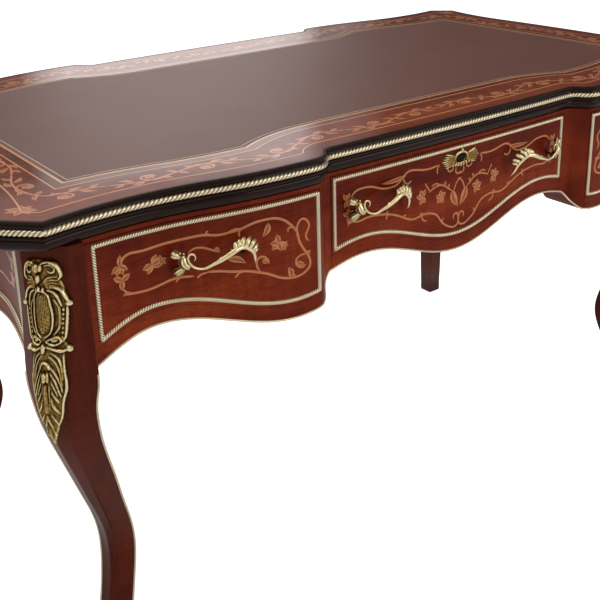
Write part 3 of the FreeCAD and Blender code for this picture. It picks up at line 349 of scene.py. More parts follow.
# Curves of the frieze and the legs
# Drawer fronts and aprons stand on one serpentine face and the end panels on another, set back.
# Their lower edges are slow waves that run out into the inner arrises of the legs.

front_inset, end_inset = 7.0, 22.0
post_inner = np.array([617.5, 311.0])
post_corner = np.array([677.5, 371.0])
side_peak_x, side_low, side_rise = 525.0, 518.0, 44.0
side_run, side_leg_run = 200.0, 155.0
centre_low, centre_rise, centre_peak_x = 521.5, 44.0, 190.0
stile_inner, stile_outer = 250.0, 288.0
end_low, end_rise, end_peak_y, end_leg_run = 531.0, 28.0, 215.0, 130.0

long_face_y, long_face_x = 300, 660
short_face_x, short_face_y = 640, 335

fine_path = top_outline(3.0)
front_line = fine_path + front_inset * mitres(fine_path)
long_face = front_line[(front_line[:, 1] > long_face_y) & (np.abs(front_line[:, 0]) < long_face_x)]
long_face = long_face[np.argsort(long_face[:, 0])]
end_line = fine_path + end_inset * mitres(fine_path)
short_face = end_line[(end_line[:, 0] > short_face_x) & (np.abs(end_line[:, 1]) < short_face_y)]
short_face = short_face[np.argsort(short_face[:, 1])][:, ::-1]
face_lines = {"front": long_face, "back": long_face, "left": short_face, "right": short_face}


def wave(share):
    """Half a cosine wave that climbs from 0 to 1 as the share does."""
    return (1 - np.cos(np.pi * share)) / 2


def side_edge(x):
    run = np.where(x < side_peak_x, side_run, side_leg_run)
    return side_low + side_rise * (1 - wave(np.abs(x - side_peak_x) / run))


def centre_edge(x):
    return centre_low + centre_rise * wave(np.abs(x) / centre_peak_x)


def long_edge(u):
    """Lower edge of the front and back: the centre wave, a short blend and the side wave."""
    x = np.abs(u)
    low, high = side_edge(np.array(stile_outer)), centre_edge(stile_inner)
    blend = low + (high - low) * wave((stile_outer - x) / (stile_outer - stile_inner))
    return np.where(x < stile_inner, centre_edge(x), np.where(x > stile_outer, side_edge(x), blend))


def short_edge(u):
    """Lower edge of an end: a rise from the middle, then a fall to the leg."""
    y = np.abs(u)
    spring = side_edge(post_inner[0])
    drop = (end_low + end_rise - spring) / wave((post_inner[1] - end_peak_y) / end_leg_run)
    return np.where(y < end_peak_y, end_low + end_rise * wave(y / end_peak_y),
                    end_low + end_rise - drop * wave((y - end_peak_y) / end_leg_run))


edge_lines = {"front": long_edge, "back": long_edge, "left": short_edge, "right": short_edge}


def on_face(side, u, z, height):
    """Points of a frieze face and their outward normals. u runs to the right as the face is
    looked at, z is the height over the floor, and height stands off along the normal."""
    line = face_lines[side]
    slope = np.interp(u, line[:, 0], np.gradient(line[:, 1], line[:, 0]))
    depth = np.interp(u, line[:, 0], line[:, 1])
    length = np.sqrt(1 + slope ** 2)
    across, out = -slope / length, 1 / length
    a, b = u + across * height, depth + out * height
    zero = np.zeros_like(a)
    place = {"front": (a, -b, across, -out), "back": (-a, b, -across, out),
             "right": (b, a, out, across), "left": (-b, -a, -out, -across)}[side]
    return (np.stack([place[0], place[1], z + zero], -1),
            np.stack([place[2], place[3], zero], -1))


def spline(knots, values, at):
    """Natural cubic spline: the second derivatives are solved from one linear system, then
    each piece is the usual cubic between two knots."""
    knots, values = np.asarray(knots, float), np.asarray(values, float)
    gap, rise = np.diff(knots), np.diff(values) / np.diff(knots)
    count = len(knots)
    system, right = np.eye(count), np.zeros(count)
    inner = np.arange(1, count - 1)
    system[inner, inner - 1], system[inner, inner + 1] = gap[:-1], gap[1:]
    system[inner, inner] = 2 * (gap[:-1] + gap[1:])
    right[inner] = 6 * np.diff(rise)
    bend = np.linalg.solve(system, right)
    i = np.clip(np.searchsorted(knots, at) - 1, 0, count - 2)
    left, over = at - knots[i], knots[i + 1] - at
    return ((bend[i] * over ** 3 + bend[i + 1] * left ** 3) / (6 * gap[i])
            + (values[i] / gap[i] - bend[i] * gap[i] / 6) * over
            + (values[i + 1] / gap[i] - bend[i + 1] * gap[i] / 6) * left)


# Veneered faces of the frieze
# Drawer fronts, aprons, stiles, top rails and end panels, each a leaf of mahogany laid over the
# serpentine ground and lipped at its edges. The lower edge of each apron follows the wave.

skin_height, ease, tuck, joint_gap = 0.5, 0.2, -1.0, 0.1
drawer_top, frieze_top, rail_foot, panel_top = 694.9, 695.9, 696.1, 701.9
frieze_end, end_panel_end = 617.4, 310.9
drawer_foot, false_front_foot = 21.6, 21.1
apron_tops = {"front": 21.35, "back": 21.0}


def lay_leaf(name, side, start, end, low, high, material, body):
    """A thin leaf on a frieze face between two heights, each a function of u. It turns back
    at all four edges with a small ease."""
    inner = np.linspace(start + ease, end - ease, max(4, int((end - start) / 4.0)))
    u = np.concatenate([[start, start], inner, [end, end]])
    drop = np.concatenate([[tuck, ease], np.full(len(inner), skin_height), [ease, tuck]])
    share = np.array([0, 0, 0, 0.5, 1, 1, 1])
    shift = np.array([0, 0, ease, 0, -ease, 0, 0])
    height = np.array([tuck, ease, skin_height, skin_height, skin_height, ease, tuck])
    bottom, top = low(u), high(u)
    z = bottom[None] + share[:, None] * (top - bottom)[None] + shift[:, None]
    rise = np.minimum(height[:, None], drop[None])
    points, _ = on_face(side, np.broadcast_to(u, z.shape), z, rise)
    faces = grid_faces(*z.shape)[:, ::-1]
    return add_piece(name, points.reshape(-1, 3), [faces], material, body, sharp=30)


def level(height):
    return lambda u: np.full_like(u, height)


def over_edge(side, rise):
    return lambda u: edge_lines[side](u) + rise


drawer_spans = {"left": (-616.4, -289.1), "centre": (-248.9, 248.9), "right": (289.1, 616.4)}
for name, (start, end) in drawer_spans.items():
    lay_leaf(f"drawer_{name}_veneer", "front", start, end, over_edge("front", drawer_foot),
             level(drawer_top), mahogany_along, f"drawer_{name}")
    lay_leaf(f"back_{name}_veneer", "back", start, end, over_edge("back", false_front_foot),
             level(frieze_top), mahogany_along, "carcass")
apron_spans = (("left", -frieze_end, -stile_outer - joint_gap),
               ("centre", -stile_inner + joint_gap, stile_inner - joint_gap),
               ("right", stile_outer + joint_gap, frieze_end))
stile_low, stile_high = stile_inner + joint_gap, stile_outer - joint_gap
for side in ("front", "back"):
    lay_leaf(f"{side}_rail_veneer", side, -frieze_end, frieze_end, level(rail_foot), level(panel_top),
             mahogany_along, "carcass")
    for name, start, end in apron_spans:
        lay_leaf(f"{side}_apron_{name}_veneer", side, start, end, over_edge(side, joint_gap),
                 over_edge(side, apron_tops[side]), mahogany_along, "carcass")
    for name, start, end in (("left", -stile_high, -stile_low), ("right", stile_low, stile_high)):
        lay_leaf(f"{side}_stile_{name}_veneer", side, start, end, over_edge(side, joint_gap),
                 level(frieze_top), mahogany_along, "carcass")
for side in ("left", "right"):
    lay_leaf(f"end_{side}_veneer", side, -end_panel_end, end_panel_end, over_edge(side, joint_gap),
             level(panel_top), mahogany_ends, "carcass")


# Cabriole legs
# Each leg is sawn from a square post on two faces, so both faces share one pair of curves, and
# its outer arris is clipped, broad at the knee and narrow at the foot. Veneered with upright grain.

leg_sway, leg_hollow, post_clip = 88.0, 66.0, 41.0
outer_heights = [1.0, 0.926, 0.855, 0.783, 0.719, 0.677, 0.627, 0.570, 0.499, 0.420, 0.335, 0.271,
                 0.199, 0.114, 0.043, 0.0]
outer_reach = [0.0, 0.0, 0.02, 0.06, 0.06, 0.01, -0.10, -0.26, -0.47, -0.70, -0.93, -1.0, -0.91,
               -0.67, -0.41, -0.28]
outer_clip = [1.0, 1.0, 0.95, 0.80, 0.60, 0.46, 0.37, 0.31, 0.28, 0.24, 0.21, 0.19, 0.17, 0.16,
              0.15, 0.17]
inner_heights = [1.0, 0.966, 0.947, 0.915, 0.877, 0.825, 0.750, 0.656, 0.553, 0.441, 0.356, 0.262,
                 0.150, 0.056, 0.0]
inner_reach = [0.0, 0.02, 0.05, 0.075, 0.05, -0.025, -0.19, -0.425, -0.665, -0.925, -1.0, -0.85,
               -0.515, -0.15, 0.015]
spring = float(side_edge(post_inner[0]))


def outer_at(z):
    """Outward reach of a leg's outer faces and the clip of their arris at height z, in mm."""
    at = np.asarray(z) / frame_top
    knots = outer_heights[::-1]
    return (leg_sway * spline(knots, outer_reach[::-1], at),
            post_clip * spline(knots, outer_clip[::-1], at))


def inner_at(z):
    """Outward reach of the inner arris below the apron, and nothing above it."""
    at = np.clip(np.asarray(z) / spring, 0, 1)
    return leg_hollow * spline(inner_heights[::-1], inner_reach[::-1], at)


leg_corners = {"front_left": (-1, -1), "front_right": (1, -1),
               "back_left": (-1, 1), "back_right": (1, 1)}
leg_z = np.unique(np.concatenate([np.linspace(0.0, spring, 120), np.linspace(spring, panel_top, 24)]))
reach, clip = outer_at(leg_z)
hollow = inner_at(leg_z)
out_x, out_y = post_corner[0] + reach, post_corner[1] + reach
in_x, in_y = post_inner[0] + hollow, post_inner[1] + hollow
pentagon = np.stack([np.stack([in_x, in_y], 1), np.stack([out_x, in_y], 1),
                     np.stack([out_x, out_y - clip], 1), np.stack([out_x - clip, out_y], 1),
                     np.stack([in_x, out_y], 1)], 1)
rings = np.stack([eased(corners, 1.2) for corners in pentagon])
leg_points = np.concatenate(
    [rings, np.broadcast_to(leg_z[:, None, None], rings.shape[:2] + (1,))], axis=2)
ends = [np.arange(rings.shape[1])[None, ::-1],
        np.arange(rings.shape[1])[None] + rings.shape[1] * (len(leg_z) - 1)]
for name, (sign_x, sign_y) in leg_corners.items():
    faces = [grid_faces(len(leg_z), rings.shape[1], False, True)[:, ::-1]] + ends
    if sign_x * sign_y < 0:
        faces = [group[:, ::-1] for group in faces]
    leg = add_piece(f"leg_{name}_veneered", (leg_points * (sign_x, sign_y, 1)).reshape(-1, 3),
                    faces, mahogany_upright, "carcass", sharp=15)
    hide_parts(f"leg_{name}")


# Gilt rope round the top, rope frames and edge beads
# Drawn and twisted brass, gilt and brushed. The large one lies in a seat of the moulded edge;
# the narrow ones frame each panel and line the lower edges and the inner arrises of the legs.

def toned(tree, texture, amount, colours):
    """Colour from a ramp, read by the tone that each point carries plus some of a texture."""
    shade = add_node(tree, "Attribute", attribute_name="tone").outputs["Fac"]
    mixed = weighted(tree, texture, amount, shade)
    return add_node(tree, "ValToRGB", {"Fac": mixed}, stops=colours).outputs[0]


gilt, tree = new_material("brass_gilt_brushed")
place = add_node(tree, "TexCoord").outputs["Object"]
wear = add_node(tree, "TexNoise", {"Vector": place, "Scale": 60.0, "Detail": 3.0}).outputs["Fac"]
# The tone from each rope's lay gives painted shade between the strands and painted highlight on their
# crests; the noise adds real wear.
gold_with_painted_shade_and_highlight = toned(tree, wear, 0.3, [(0.2, "#3a2c16"), (0.6, "#a8926a"), (0.95, "#efe4c8")])
close_material(tree, {"Base Color": gold_with_painted_shade_and_highlight, "Metallic": 0.75, "Roughness": 0.38})


def evenly(points, normals, gap):
    """Points and normals at even distances along a line, by length."""
    step = np.linalg.norm(np.diff(points, axis=0), axis=1)
    length = np.concatenate([[0], np.cumsum(step)])
    count = max(2, int(round(length[-1] / gap)) + 1)
    at = np.linspace(0, length[-1], count)
    new_points = np.stack([np.interp(at, length, points[:, i]) for i in range(3)], 1)
    new_normals = np.stack([np.interp(at, length, normals[:, i]) for i in range(3)], 1)
    new_normals /= np.linalg.norm(new_normals, axis=1)[:, None]
    return new_points, new_normals, at


def twist(points, normals, radius, spacing, per_strand, around, first, last, depth=0.22):
    """A three-strand rope along a line. Its radius is the full one less a depth share that deepens
    between strands: 1 - depth (1 - |cos 1.5 (angle - turn)|), where the turn grows by a full circle
    over three spacings. Only angles from first to last are built. The tone is that cosine: through the
    gilt ramp it gives painted shade, dark between strands, and painted highlight, pale on the crests."""
    closed = np.allclose(points[0], points[-1])
    line, out, at = evenly(points, normals, spacing / per_strand)
    ahead = np.gradient(line, axis=0)
    if closed:
        ahead[0] = ahead[-1] = line[1] - line[-2]
    across = np.cross(ahead, out)
    across /= np.linalg.norm(across, axis=1)[:, None]
    if closed:
        line, out, across, at = line[:-1], out[:-1], across[:-1], at[:-1]
    full = last - first >= 2 * math.pi
    angle = np.linspace(first, last, around, endpoint=not full)
    strands = max(1, round(at[-1] / spacing / 3)) * 3
    turn = 2 * math.pi * at / (at[-1] + at[1]) * strands / 3
    # The crest shapes the lay and is also the tone: painted shade between strands and painted
    # highlight on their crests.
    crest = np.abs(np.cos(1.5 * (angle[None] - turn[:, None])))
    size = radius * (1 - depth * (1 - crest))
    spots = (line[:, None] + across[:, None] * (size * np.cos(angle))[..., None]
             + out[:, None] * (size * np.sin(angle))[..., None])
    faces = grid_faces(len(line), around, closed, full)
    return spots.reshape(-1, 3), faces, crest.ravel()


def join_parts(parts):
    """Points, faces and tones of several meshes as one, the faces renumbered."""
    offsets = np.cumsum([0] + [len(part[0]) for part in parts[:-1]])
    return (np.concatenate([part[0] for part in parts]),
            [part[1] + offset for part, offset in zip(parts, offsets)],
            np.concatenate([part[2] for part in parts]))


def lay_metal(name, parts, metal, body, replaced):
    """Joins ropes or castings into one smooth piece that stands for a CAD node."""
    points, faces, tone = join_parts(parts)
    piece = add_piece(name, points, faces, metal, body, tone=tone, sharp=180)
    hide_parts(replaced)


rope_path = fine_path + rope_inset * mitres(fine_path)
closed_path = np.concatenate([rope_path, rope_path[:1]])
rope_line = np.column_stack([closed_path, np.full(len(closed_path), frame_top + rope_height)])
upright = np.tile([0.0, 0.0, 1.0], (len(rope_line), 1))
top_rope_radius, top_rope_spacing = 4.0, 6.0
top_rope = twist(rope_line, upright, top_rope_radius, top_rope_spacing, 7, 12, 0.0, 2 * math.pi)
lay_metal("top_rope_twisted", [top_rope], gilt, "carcass", "top_rope_moulding")

frame_rise, frame_top_line, end_frame_reach = 29.0, 690.0, 303.0
frame_radius, frame_spacing, frame_depth = 3.1, 3.6, 0.32
sunk_angle = 0.25


def frame_line(side, start, end):
    """The closed centre line of a rope frame: level top, upright sides, waved bottom."""
    u = np.linspace(start, end, 120)
    low = edge_lines[side](u) + frame_rise
    up = np.linspace(0, 1, 30)[1:-1]
    right_side, left_side = np.full(len(up), end), np.full(len(up), start)
    line_u = np.concatenate([u, right_side, u[::-1], left_side, u[:1]])
    line_z = np.concatenate([low, low[-1] + (frame_top_line - low[-1]) * up,
                             np.full(len(u), frame_top_line),
                             frame_top_line + (low[0] - frame_top_line) * up, low[:1]])
    return on_face(side, line_u, line_z, skin_height)


def lay_frame(side, start, end):
    line, out = frame_line(side, start, end)
    return twist(line, out, frame_radius, frame_spacing, 5, 8, -sunk_angle, math.pi + sunk_angle,
                 frame_depth)


frame_spans = {"left": (-604.0, -293.0), "centre": (-244.0, 244.0), "right": (293.0, 604.0)}
for name, span in frame_spans.items():
    lay_metal(f"drawer_{name}_rope", [lay_frame("front", *span)], gilt, f"drawer_{name}",
              f"drawer_{name}_rope_frame")
lay_metal("back_ropes", [lay_frame("back", *span) for span in frame_spans.values()], gilt,
          "carcass", "back_rope_frames")
lay_metal("end_ropes",
          [lay_frame(side, -end_frame_reach, end_frame_reach) for side in ("left", "right")], gilt,
          "carcass", "end_rope_frames")

bead_lift, bead_foot = 1.6, 3.0
bead_radius, bead_spacing, bead_depth = 1.7, 2.6, 0.35


def bead_line(side):
    """Centre line of the bead on one side: up one leg, along the apron and down the other."""
    long_side = side in ("front", "back")
    first, second = (0, 1) if long_side else (1, 0)
    z = np.linspace(spring, bead_foot, 160)
    along = post_inner[first] + inner_at(z) + bead_lift
    depth = post_corner[second] + outer_at(z)[0]
    u = np.linspace(-post_inner[first], post_inner[first], 400)
    middle, out = on_face(side, u, edge_lines[side](u) + bead_lift, skin_height)
    sign = {"front": (1, -1), "back": (-1, 1), "right": (1, 1), "left": (-1, -1)}[side]
    lines = []
    for end in (-1, 1):
        a, b = end * along * sign[first], depth * sign[second]
        pair = (a, b) if long_side else (b, a)
        lines.append(np.column_stack([pair[0], pair[1], z]))
    facing = np.array([0.0, sign[1], 0.0] if long_side else [sign[0], 0.0, 0.0])
    line = np.concatenate([lines[0][::-1], middle, lines[1]])
    leg_normals = np.tile(facing, (len(z), 1))
    return line, np.concatenate([leg_normals, out, leg_normals])


beads = [twist(*bead_line(side), bead_radius, bead_spacing, 3, 6, -sunk_angle,
               math.pi + sunk_angle, bead_depth) for side in ("front", "back", "left", "right")]
lay_metal("edge_beads_gilt", beads, gilt, "carcass", "edge_beads")


# Marquetry of the drawers, back and ends
# Fruitwood and dyed maple veneers sawn to scrolls, leaves and flowers, shaded in hot sand and
# let flush into the mahogany. Each cut is a thin strip or leaf that shows just over its ground.

inlay, tree = new_material("fruitwood_inlay_sand_shaded")
place = add_node(tree, "TexCoord").outputs["Object"]
fibre = stretched_noise(tree, place, "x", 60, 1.4)
colour = toned(tree, fibre, 0.35, [(0.2, "#74341c"), (0.5, "#ad6640"), (0.9, "#cb8c5a")])
close_material(tree, {
    "Base Color": colour, "Roughness": 0.4, "Specular IOR Level": 0.1,
    "Coat Weight": 0.25, "Coat Roughness": 0.05, "Coat IOR": 1.5})

inlay_rise, inlay_foot = 0.13, -0.3


def smooth_curve(knots, gap=2.0):
    """Points every gap mm along a natural cubic spline through the knots, by chord length."""
    knots = np.asarray(knots, float)
    at = np.concatenate([[0], np.cumsum(np.linalg.norm(np.diff(knots, axis=0), axis=1))])
    fine = np.linspace(0, at[-1], max(6, int(at[-1] / gap)))
    return np.stack([spline(at, knots[:, i], fine) for i in range(knots.shape[1])], 1)


def strip(knots, width, taper=(0.25, 0.15)):
    """A narrow cut along a curve: its width swells from nothing, holds and runs out. Returns
    points (u, z, rise, tone) as rows along the curve and four columns across."""
    line = smooth_curve(knots)
    share = np.linspace(0, 1, len(line))
    swell = np.minimum(1, np.minimum(share / taper[0], (1 - share) / taper[1]))
    half = width / 2 * np.sin(np.pi / 2 * swell) ** 0.7
    ahead = np.gradient(line, axis=0)
    ahead /= np.linalg.norm(ahead, axis=1)[:, None]
    side = np.stack([-ahead[:, 1], ahead[:, 0]], 1)
    across = np.array([-1.0, -1.0, 1.0, 1.0])
    rise = np.array([inlay_foot, inlay_rise, inlay_rise, inlay_foot])
    tone = np.array([0.25, 0.3, 0.62, 0.62])
    spots = line[:, None] + side[:, None] * (half[:, None] * across)[..., None]
    extra = np.broadcast_to(np.stack([rise, tone], 1), spots.shape)
    return np.concatenate([spots, extra], axis=2)


def leaf(base, tip, width, bend=0.0):
    """An almond leaf from base to tip, its middle line bowed sideways by the bend. The vein
    is shaded dark. Returns points (u, z, rise, tone), six columns across."""
    base, tip = np.array(base, float), np.array(tip, float)
    along = tip - base
    side = np.array([-along[1], along[0]]) / np.linalg.norm(along)
    share = np.linspace(0, 1, 12)
    middle = base + share[:, None] * along + (4 * bend * share * (1 - share))[:, None] * side
    half = width / 2 * np.sin(np.pi * share ** 0.8)
    across = np.array([-1.0, -1.0, -0.15, 0.15, 1.0, 1.0])
    rise = np.array([inlay_foot] + [inlay_rise] * 4 + [inlay_foot])
    tone = np.array([0.7, 0.7, 0.05, 0.25, 0.75, 0.75])
    spots = middle[:, None] + side * (half[:, None] * across)[..., None]
    extra = np.broadcast_to(np.stack([rise, tone], 1), spots.shape)
    return np.concatenate([spots, extra], axis=2)


def petals(centre, size, angles, width=0.5):
    """A flower: one leaf for each angle, in degrees, from the centre."""
    return [leaf(centre, (centre[0] + size * math.cos(math.radians(angle)),
                          centre[1] + size * math.sin(math.radians(angle))), size * width)
            for angle in angles]


side_motif = [
    strip([(-569, 655), (-567, 663), (-561, 667), (-545, 667), (-523, 668), (-499, 669),
           (-475, 669), (-456, 668), (-442, 665), (-429, 665), (-409, 667), (-392, 671),
           (-377, 672), (-363, 671), (-348, 665), (-336, 654), (-328, 643), (-326, 633),
           (-321, 621), (-314, 610), (-309, 600), (-309, 590), (-317, 583), (-329, 580),
           (-342, 581), (-359, 587), (-375, 596), (-387, 601), (-404, 607), (-424, 611),
           (-443, 616), (-459, 618)], 3.4, (0.02, 0.02)),
    strip([(-474, 616), (-491, 619), (-506, 619), (-521, 616), (-538, 614), (-553, 615),
           (-568, 617)], 3.2, (0.1, 0.05)),
    strip([(-570, 626), (-568, 622), (-561, 617), (-553, 615)], 2.6),
    strip([(-570, 615), (-568, 617), (-563, 617)], 2.4),
    strip([(-442, 664), (-450, 667), (-456, 671), (-453, 674)], 2.6),
    strip([(-409, 667), (-413, 663), (-412, 656)], 2.8),
    strip([(-429, 665), (-420, 668), (-411, 667)], 2.6),
    leaf((-371, 667), (-381, 649), 9, 3),
    strip([(-325, 627), (-328, 640), (-327, 653), (-320, 660), (-312, 656), (-309, 646),
           (-314, 637), (-313, 630), (-308, 626)], 3.0),
    strip([(-329, 645), (-335, 652), (-342, 652), (-342, 646)], 2.6),
    strip([(-312, 608), (-324, 609), (-331, 604), (-329, 595), (-321, 591), (-315, 594)], 2.8),
    leaf((-313, 608), (-307, 612), 6), leaf((-330, 601), (-317, 593), 6),
    strip([(-385, 601), (-390, 611), (-389, 619), (-383, 622), (-376, 618), (-372, 609)], 3.0),
    leaf((-382, 617), (-374, 611), 6), leaf((-339, 581), (-344, 597), 9, -2),
    leaf((-342, 584), (-331, 581), 7), strip([(-403, 607), (-415, 607), (-422, 601)], 2.6),
    strip([(-457, 617), (-467, 616), (-472, 612)], 2.6),
    strip([(-490, 619), (-497, 617), (-500, 613)], 2.4),
    strip([(-482, 649), (-473, 653), (-462, 652), (-449, 646), (-439, 641)], 2.8),
    leaf((-448, 645), (-439, 643), 6, 2), leaf((-430, 629), (-405, 618), 9, 3),
] + petals((-572, 656), 14, (80, 215, 250, 290, 325), 0.5) \
  + petals((-570, 636), 13, (150, 30, 265), 0.6) \
  + petals((-529, 646), 14, (20, 60, 200, 240, 340), 0.6) \
  + petals((-518, 647), 9, (20, 330, 90), 0.6) \
  + petals((-357, 635), 13, (100, 170, 215, 290, 330), 0.66) \
  + petals((-351, 630), 9, (30, 300, 350), 0.6)

centre_half = [
    strip([(-45, 670), (-62, 668), (-87, 671), (-106, 673), (-117, 667), (-128, 658),
           (-141, 656), (-157, 658), (-176, 665), (-194, 667), (-208, 664), (-216, 655)], 3.0,
           (0.04, 0.05)),
    leaf((-111, 668), (-159, 665), 7, 2),
    strip([(-116, 666), (-115, 659), (-108, 654), (-100, 658)], 2.6),
    strip([(-43, 670), (-48, 664), (-47, 655)], 2.4),
    strip([(-221, 615), (-216, 621), (-206, 619), (-187, 620), (-164, 619), (-141, 614),
           (-118, 604), (-94, 595), (-79, 597), (-62, 596), (-47, 589), (-35, 574), (-22, 565),
           (-9, 561), (-2, 564), (0, 574), (-5, 583), (-11, 580), (-9, 572)], 3.0, (0.04, 0.05)),
    strip([(-222, 620), (-220, 621), (-214, 618)], 2.4),
    strip([(-149, 616), (-147, 619), (-148, 622)], 2.4),
    strip([(-142, 614), (-149, 612), (-148, 607)], 2.4),
    strip([(-79, 597), (-76, 589), (-67, 585)], 2.4),
    strip([(-34, 574), (-35, 579), (-32, 582)], 2.4), leaf((-75, 597), (-83, 601), 5),
    leaf((-116, 604), (-110, 606), 4), leaf((-16, 623), (-2, 594), 13, -2),
    strip([(-12, 619), (-9, 628), (-2, 637), (5, 640)], 2.4, (0.2, 0.2)),
    strip([(-13, 620), (-24, 628), (-37, 636), (-51, 636), (-66, 630)], 2.6),
    strip([(-42, 638), (-53, 641), (-59, 638)], 2.2),
    strip([(-63, 632), (-69, 641), (-73, 647)], 2.2), leaf((-31, 634), (-29, 641), 4),
    leaf((-24, 629), (-21, 635), 4),
    strip([(-25, 670), (-27, 662), (-22, 654), (-15, 656), (-17, 664)], 2.4),
    strip([(-7, 659), (-9, 652), (-3, 647), (3, 650)], 2.4),
] + petals((-39, 617), 12, (30, 95, 160, 225, 290), 0.66) \
  + petals((-78, 626), 13, (60, 110, 165, 250, 300), 0.6) \
  + petals((-222, 655), 12, (60, 120, 250, 290), 0.5) \
  + petals((-219, 631), 12, (30, 90, 150, 270, 310), 0.55)


def mirrored(motif):
    """The motif turned over left for right; the columns are reversed so it still faces out."""
    return [(part * (-1, 1, 1, 1))[:, ::-1] for part in motif]


def squeezed(motif, wide, tall, top):
    """The motif stretched about the middle and shortened down from the top."""
    return [np.concatenate([part[..., :1] * wide, top - (top - part[..., 1:2]) * tall,
                            part[..., 2:]], axis=2) for part in motif]


def cut_out(spots, part):
    """Points, faces and tones of one cut part that has been set at these spots."""
    return spots.reshape(-1, 3), grid_faces(*part.shape[:2])[:, ::-1], part[..., 3].ravel()


def lay_motif(name, pieces, body):
    """Sets cut parts in one or more faces: pieces is a list of (side, motif). Parts that
    cross differ a little in rise, so neither flickers through the other."""
    parts = []
    for side, motif in pieces:
        for number, part in enumerate(motif):
            rise = skin_height + part[..., 2] - 0.01 * (number % 9)
            points, _ = on_face(side, part[..., 0], part[..., 1], rise)
            parts.append(cut_out(points, part))
    points, faces, tone = join_parts(parts)
    return add_piece(name, points, faces, inlay, body, tone=tone)


centre_motif = centre_half + mirrored(centre_half)
drawer_motifs = {"left": side_motif, "centre": centre_motif, "right": mirrored(side_motif)}
for name, motif in drawer_motifs.items():
    lay_motif(f"drawer_{name}_marquetry", [("front", motif)], f"drawer_{name}")
lay_motif("back_marquetry", [("back", motif) for motif in drawer_motifs.values()], "carcass")
end_motif = squeezed(centre_motif, 1.22, 0.94, 687.0)
lay_motif("end_marquetry", [("left", end_motif), ("right", end_motif)], "carcass")


# Top: leather, stringing, crossband and marquetry border
# A skiver of brown leather with a tooled gilt line, inside thin light strings, a dark crossband
# and a border of scrolling leaves. The veneers of the top are lacquered brighter than the fronts.

leather, tree = new_material("leather_brown_waxed")
place = add_node(tree, "TexCoord").outputs["Object"]
cells = add_node(tree, "TexVoronoi", {"Vector": place, "Scale": 900.0}).outputs["Distance"]
cloud = add_node(tree, "TexNoise", {"Vector": place, "Scale": 9.0, "Detail": 4.0}).outputs["Fac"]
hide = add_node(tree, "ValToRGB", {"Fac": cloud},
                stops=[(0.3, "#5a352c"), (0.7, "#603b32")]).outputs[0]
pebble = add_node(tree, "Bump", {"Height": cells, "Strength": 0.25, "Distance": 0.0004}).outputs[0]
close_material(tree, {
    "Base Color": hide, "Roughness": 0.42, "Specular IOR Level": 0.5, "Normal": pebble})
finish_nodes(leather, "leather_writing_surface")

border_stain = [(0.34, "#3c1207"), (0.46, "#571e0b"), (0.56, "#6d2c12"), (0.70, "#843f1c")]
border_veneer = lacquered_veneer("mahogany_border_lacquered", border_stain, "x", 0.85)
finish_nodes(border_veneer, "top_border_veneer")
dark_band = lacquered_veneer("rosewood_crossband_lacquered",
                             [(0.36, "#3c160c"), (0.5, "#57240f"), (0.66, "#733518")], "x", 1.0)

polished_inlay = inlay.copy()
polished_inlay.name = "fruitwood_inlay_polished"
polish = polished_inlay.node_tree.nodes["Principled BSDF"].inputs["Coat Weight"]
polish.default_value = 1.0
surface = 739.8
string_top, band_top, ring_foot = surface + 0.13, surface + 0.07, 739.0
leather_mesh = nodes["leather_writing_surface"].data
spots = np.empty(len(leather_mesh.vertices) * 3)
leather_mesh.vertices.foreach_get("co", spots)
spots = spots.reshape(-1, 3) * 1000
rim = np.unique(np.round(spots[spots[:, 2] > spots[:, 2].max() - 0.1, :2], 2), axis=0)
rim = rim[np.argsort(np.arctan2(rim[:, 1], rim[:, 0]))]


def flat_ring(name, outline, outer, inner, low, high, material):
    """A closed ring of thin section between two insets of an outline."""
    ring_section = np.array([(outer, low), (outer, high), (inner, high), (inner, low)])
    shifted = outline[:, None] + ring_section[None, :, :1] * mitres(outline)[:, None]
    height = np.broadcast_to(ring_section[None, :, 1:], shifted.shape[:2] + (1,))
    spots = np.concatenate([shifted, height], axis=2)
    faces = grid_faces(len(outline), 4, True, True)[:, ::-1]
    tone = np.full(len(outline) * 4, 0.75)
    return add_piece(name, spots.reshape(-1, 3), [faces], material, "carcass", tone=tone)


for name, outer, inner, high, material in (
        ("string_round_leather", -3.2, 0.3, string_top, polished_inlay),
        ("crossband_dark", -17.0, -3.2, band_top, dark_band),
        ("string_inside_border", -19.0, -17.0, string_top, polished_inlay)):
    flat_ring(name, rim, outer, inner, ring_foot, high, material)
flat_ring("leather_gilt_line", rim, 7.0, 8.0, 739.5, surface, gilt)


fold_slack = 0.05


def inset_line(outline, inset):
    """The outline shifted inward, less the points that fold over at the corners: a shifted
    point is kept when no point of the outline is nearer to it than the inset. Points less
    than a mm from the one before are then dropped too."""
    shifted = outline + inset * mitres(outline)
    nearest = np.linalg.norm(shifted[:, None] - outline[None], axis=2).min(axis=1)
    kept = shifted[nearest > inset - fold_slack]
    step = np.linalg.norm(kept - np.roll(kept, 1, axis=0), axis=1)
    return kept[step > 1.0]


flat_ring("string_outside_border", inset_line(fine_path, 32.0), -1.0, 1.0, ring_foot, string_top,
          polished_inlay)

border_inset, wave_length, smoothing = 57.0, 176.0, 15
corner_middle, corner_clearance = np.array([666.0, 321.0]), 36.0


border_curl = np.array([(10, 4), (24, 13), (40, 10), (46, -1), (38, -8), (29, -4), (31, 2)])
border_leaves = [((46, 12), (66, 17), 7, 3), ((58, 8), (74, -6), 7, -3), ((70, 6), (86, 14), 6, 2),
                 ((24, 12), (12, 18), 6, 2), ((2, 1), (12, -12), 6, -2)]
flower_angles = (0, 72, 144, 216, 288)


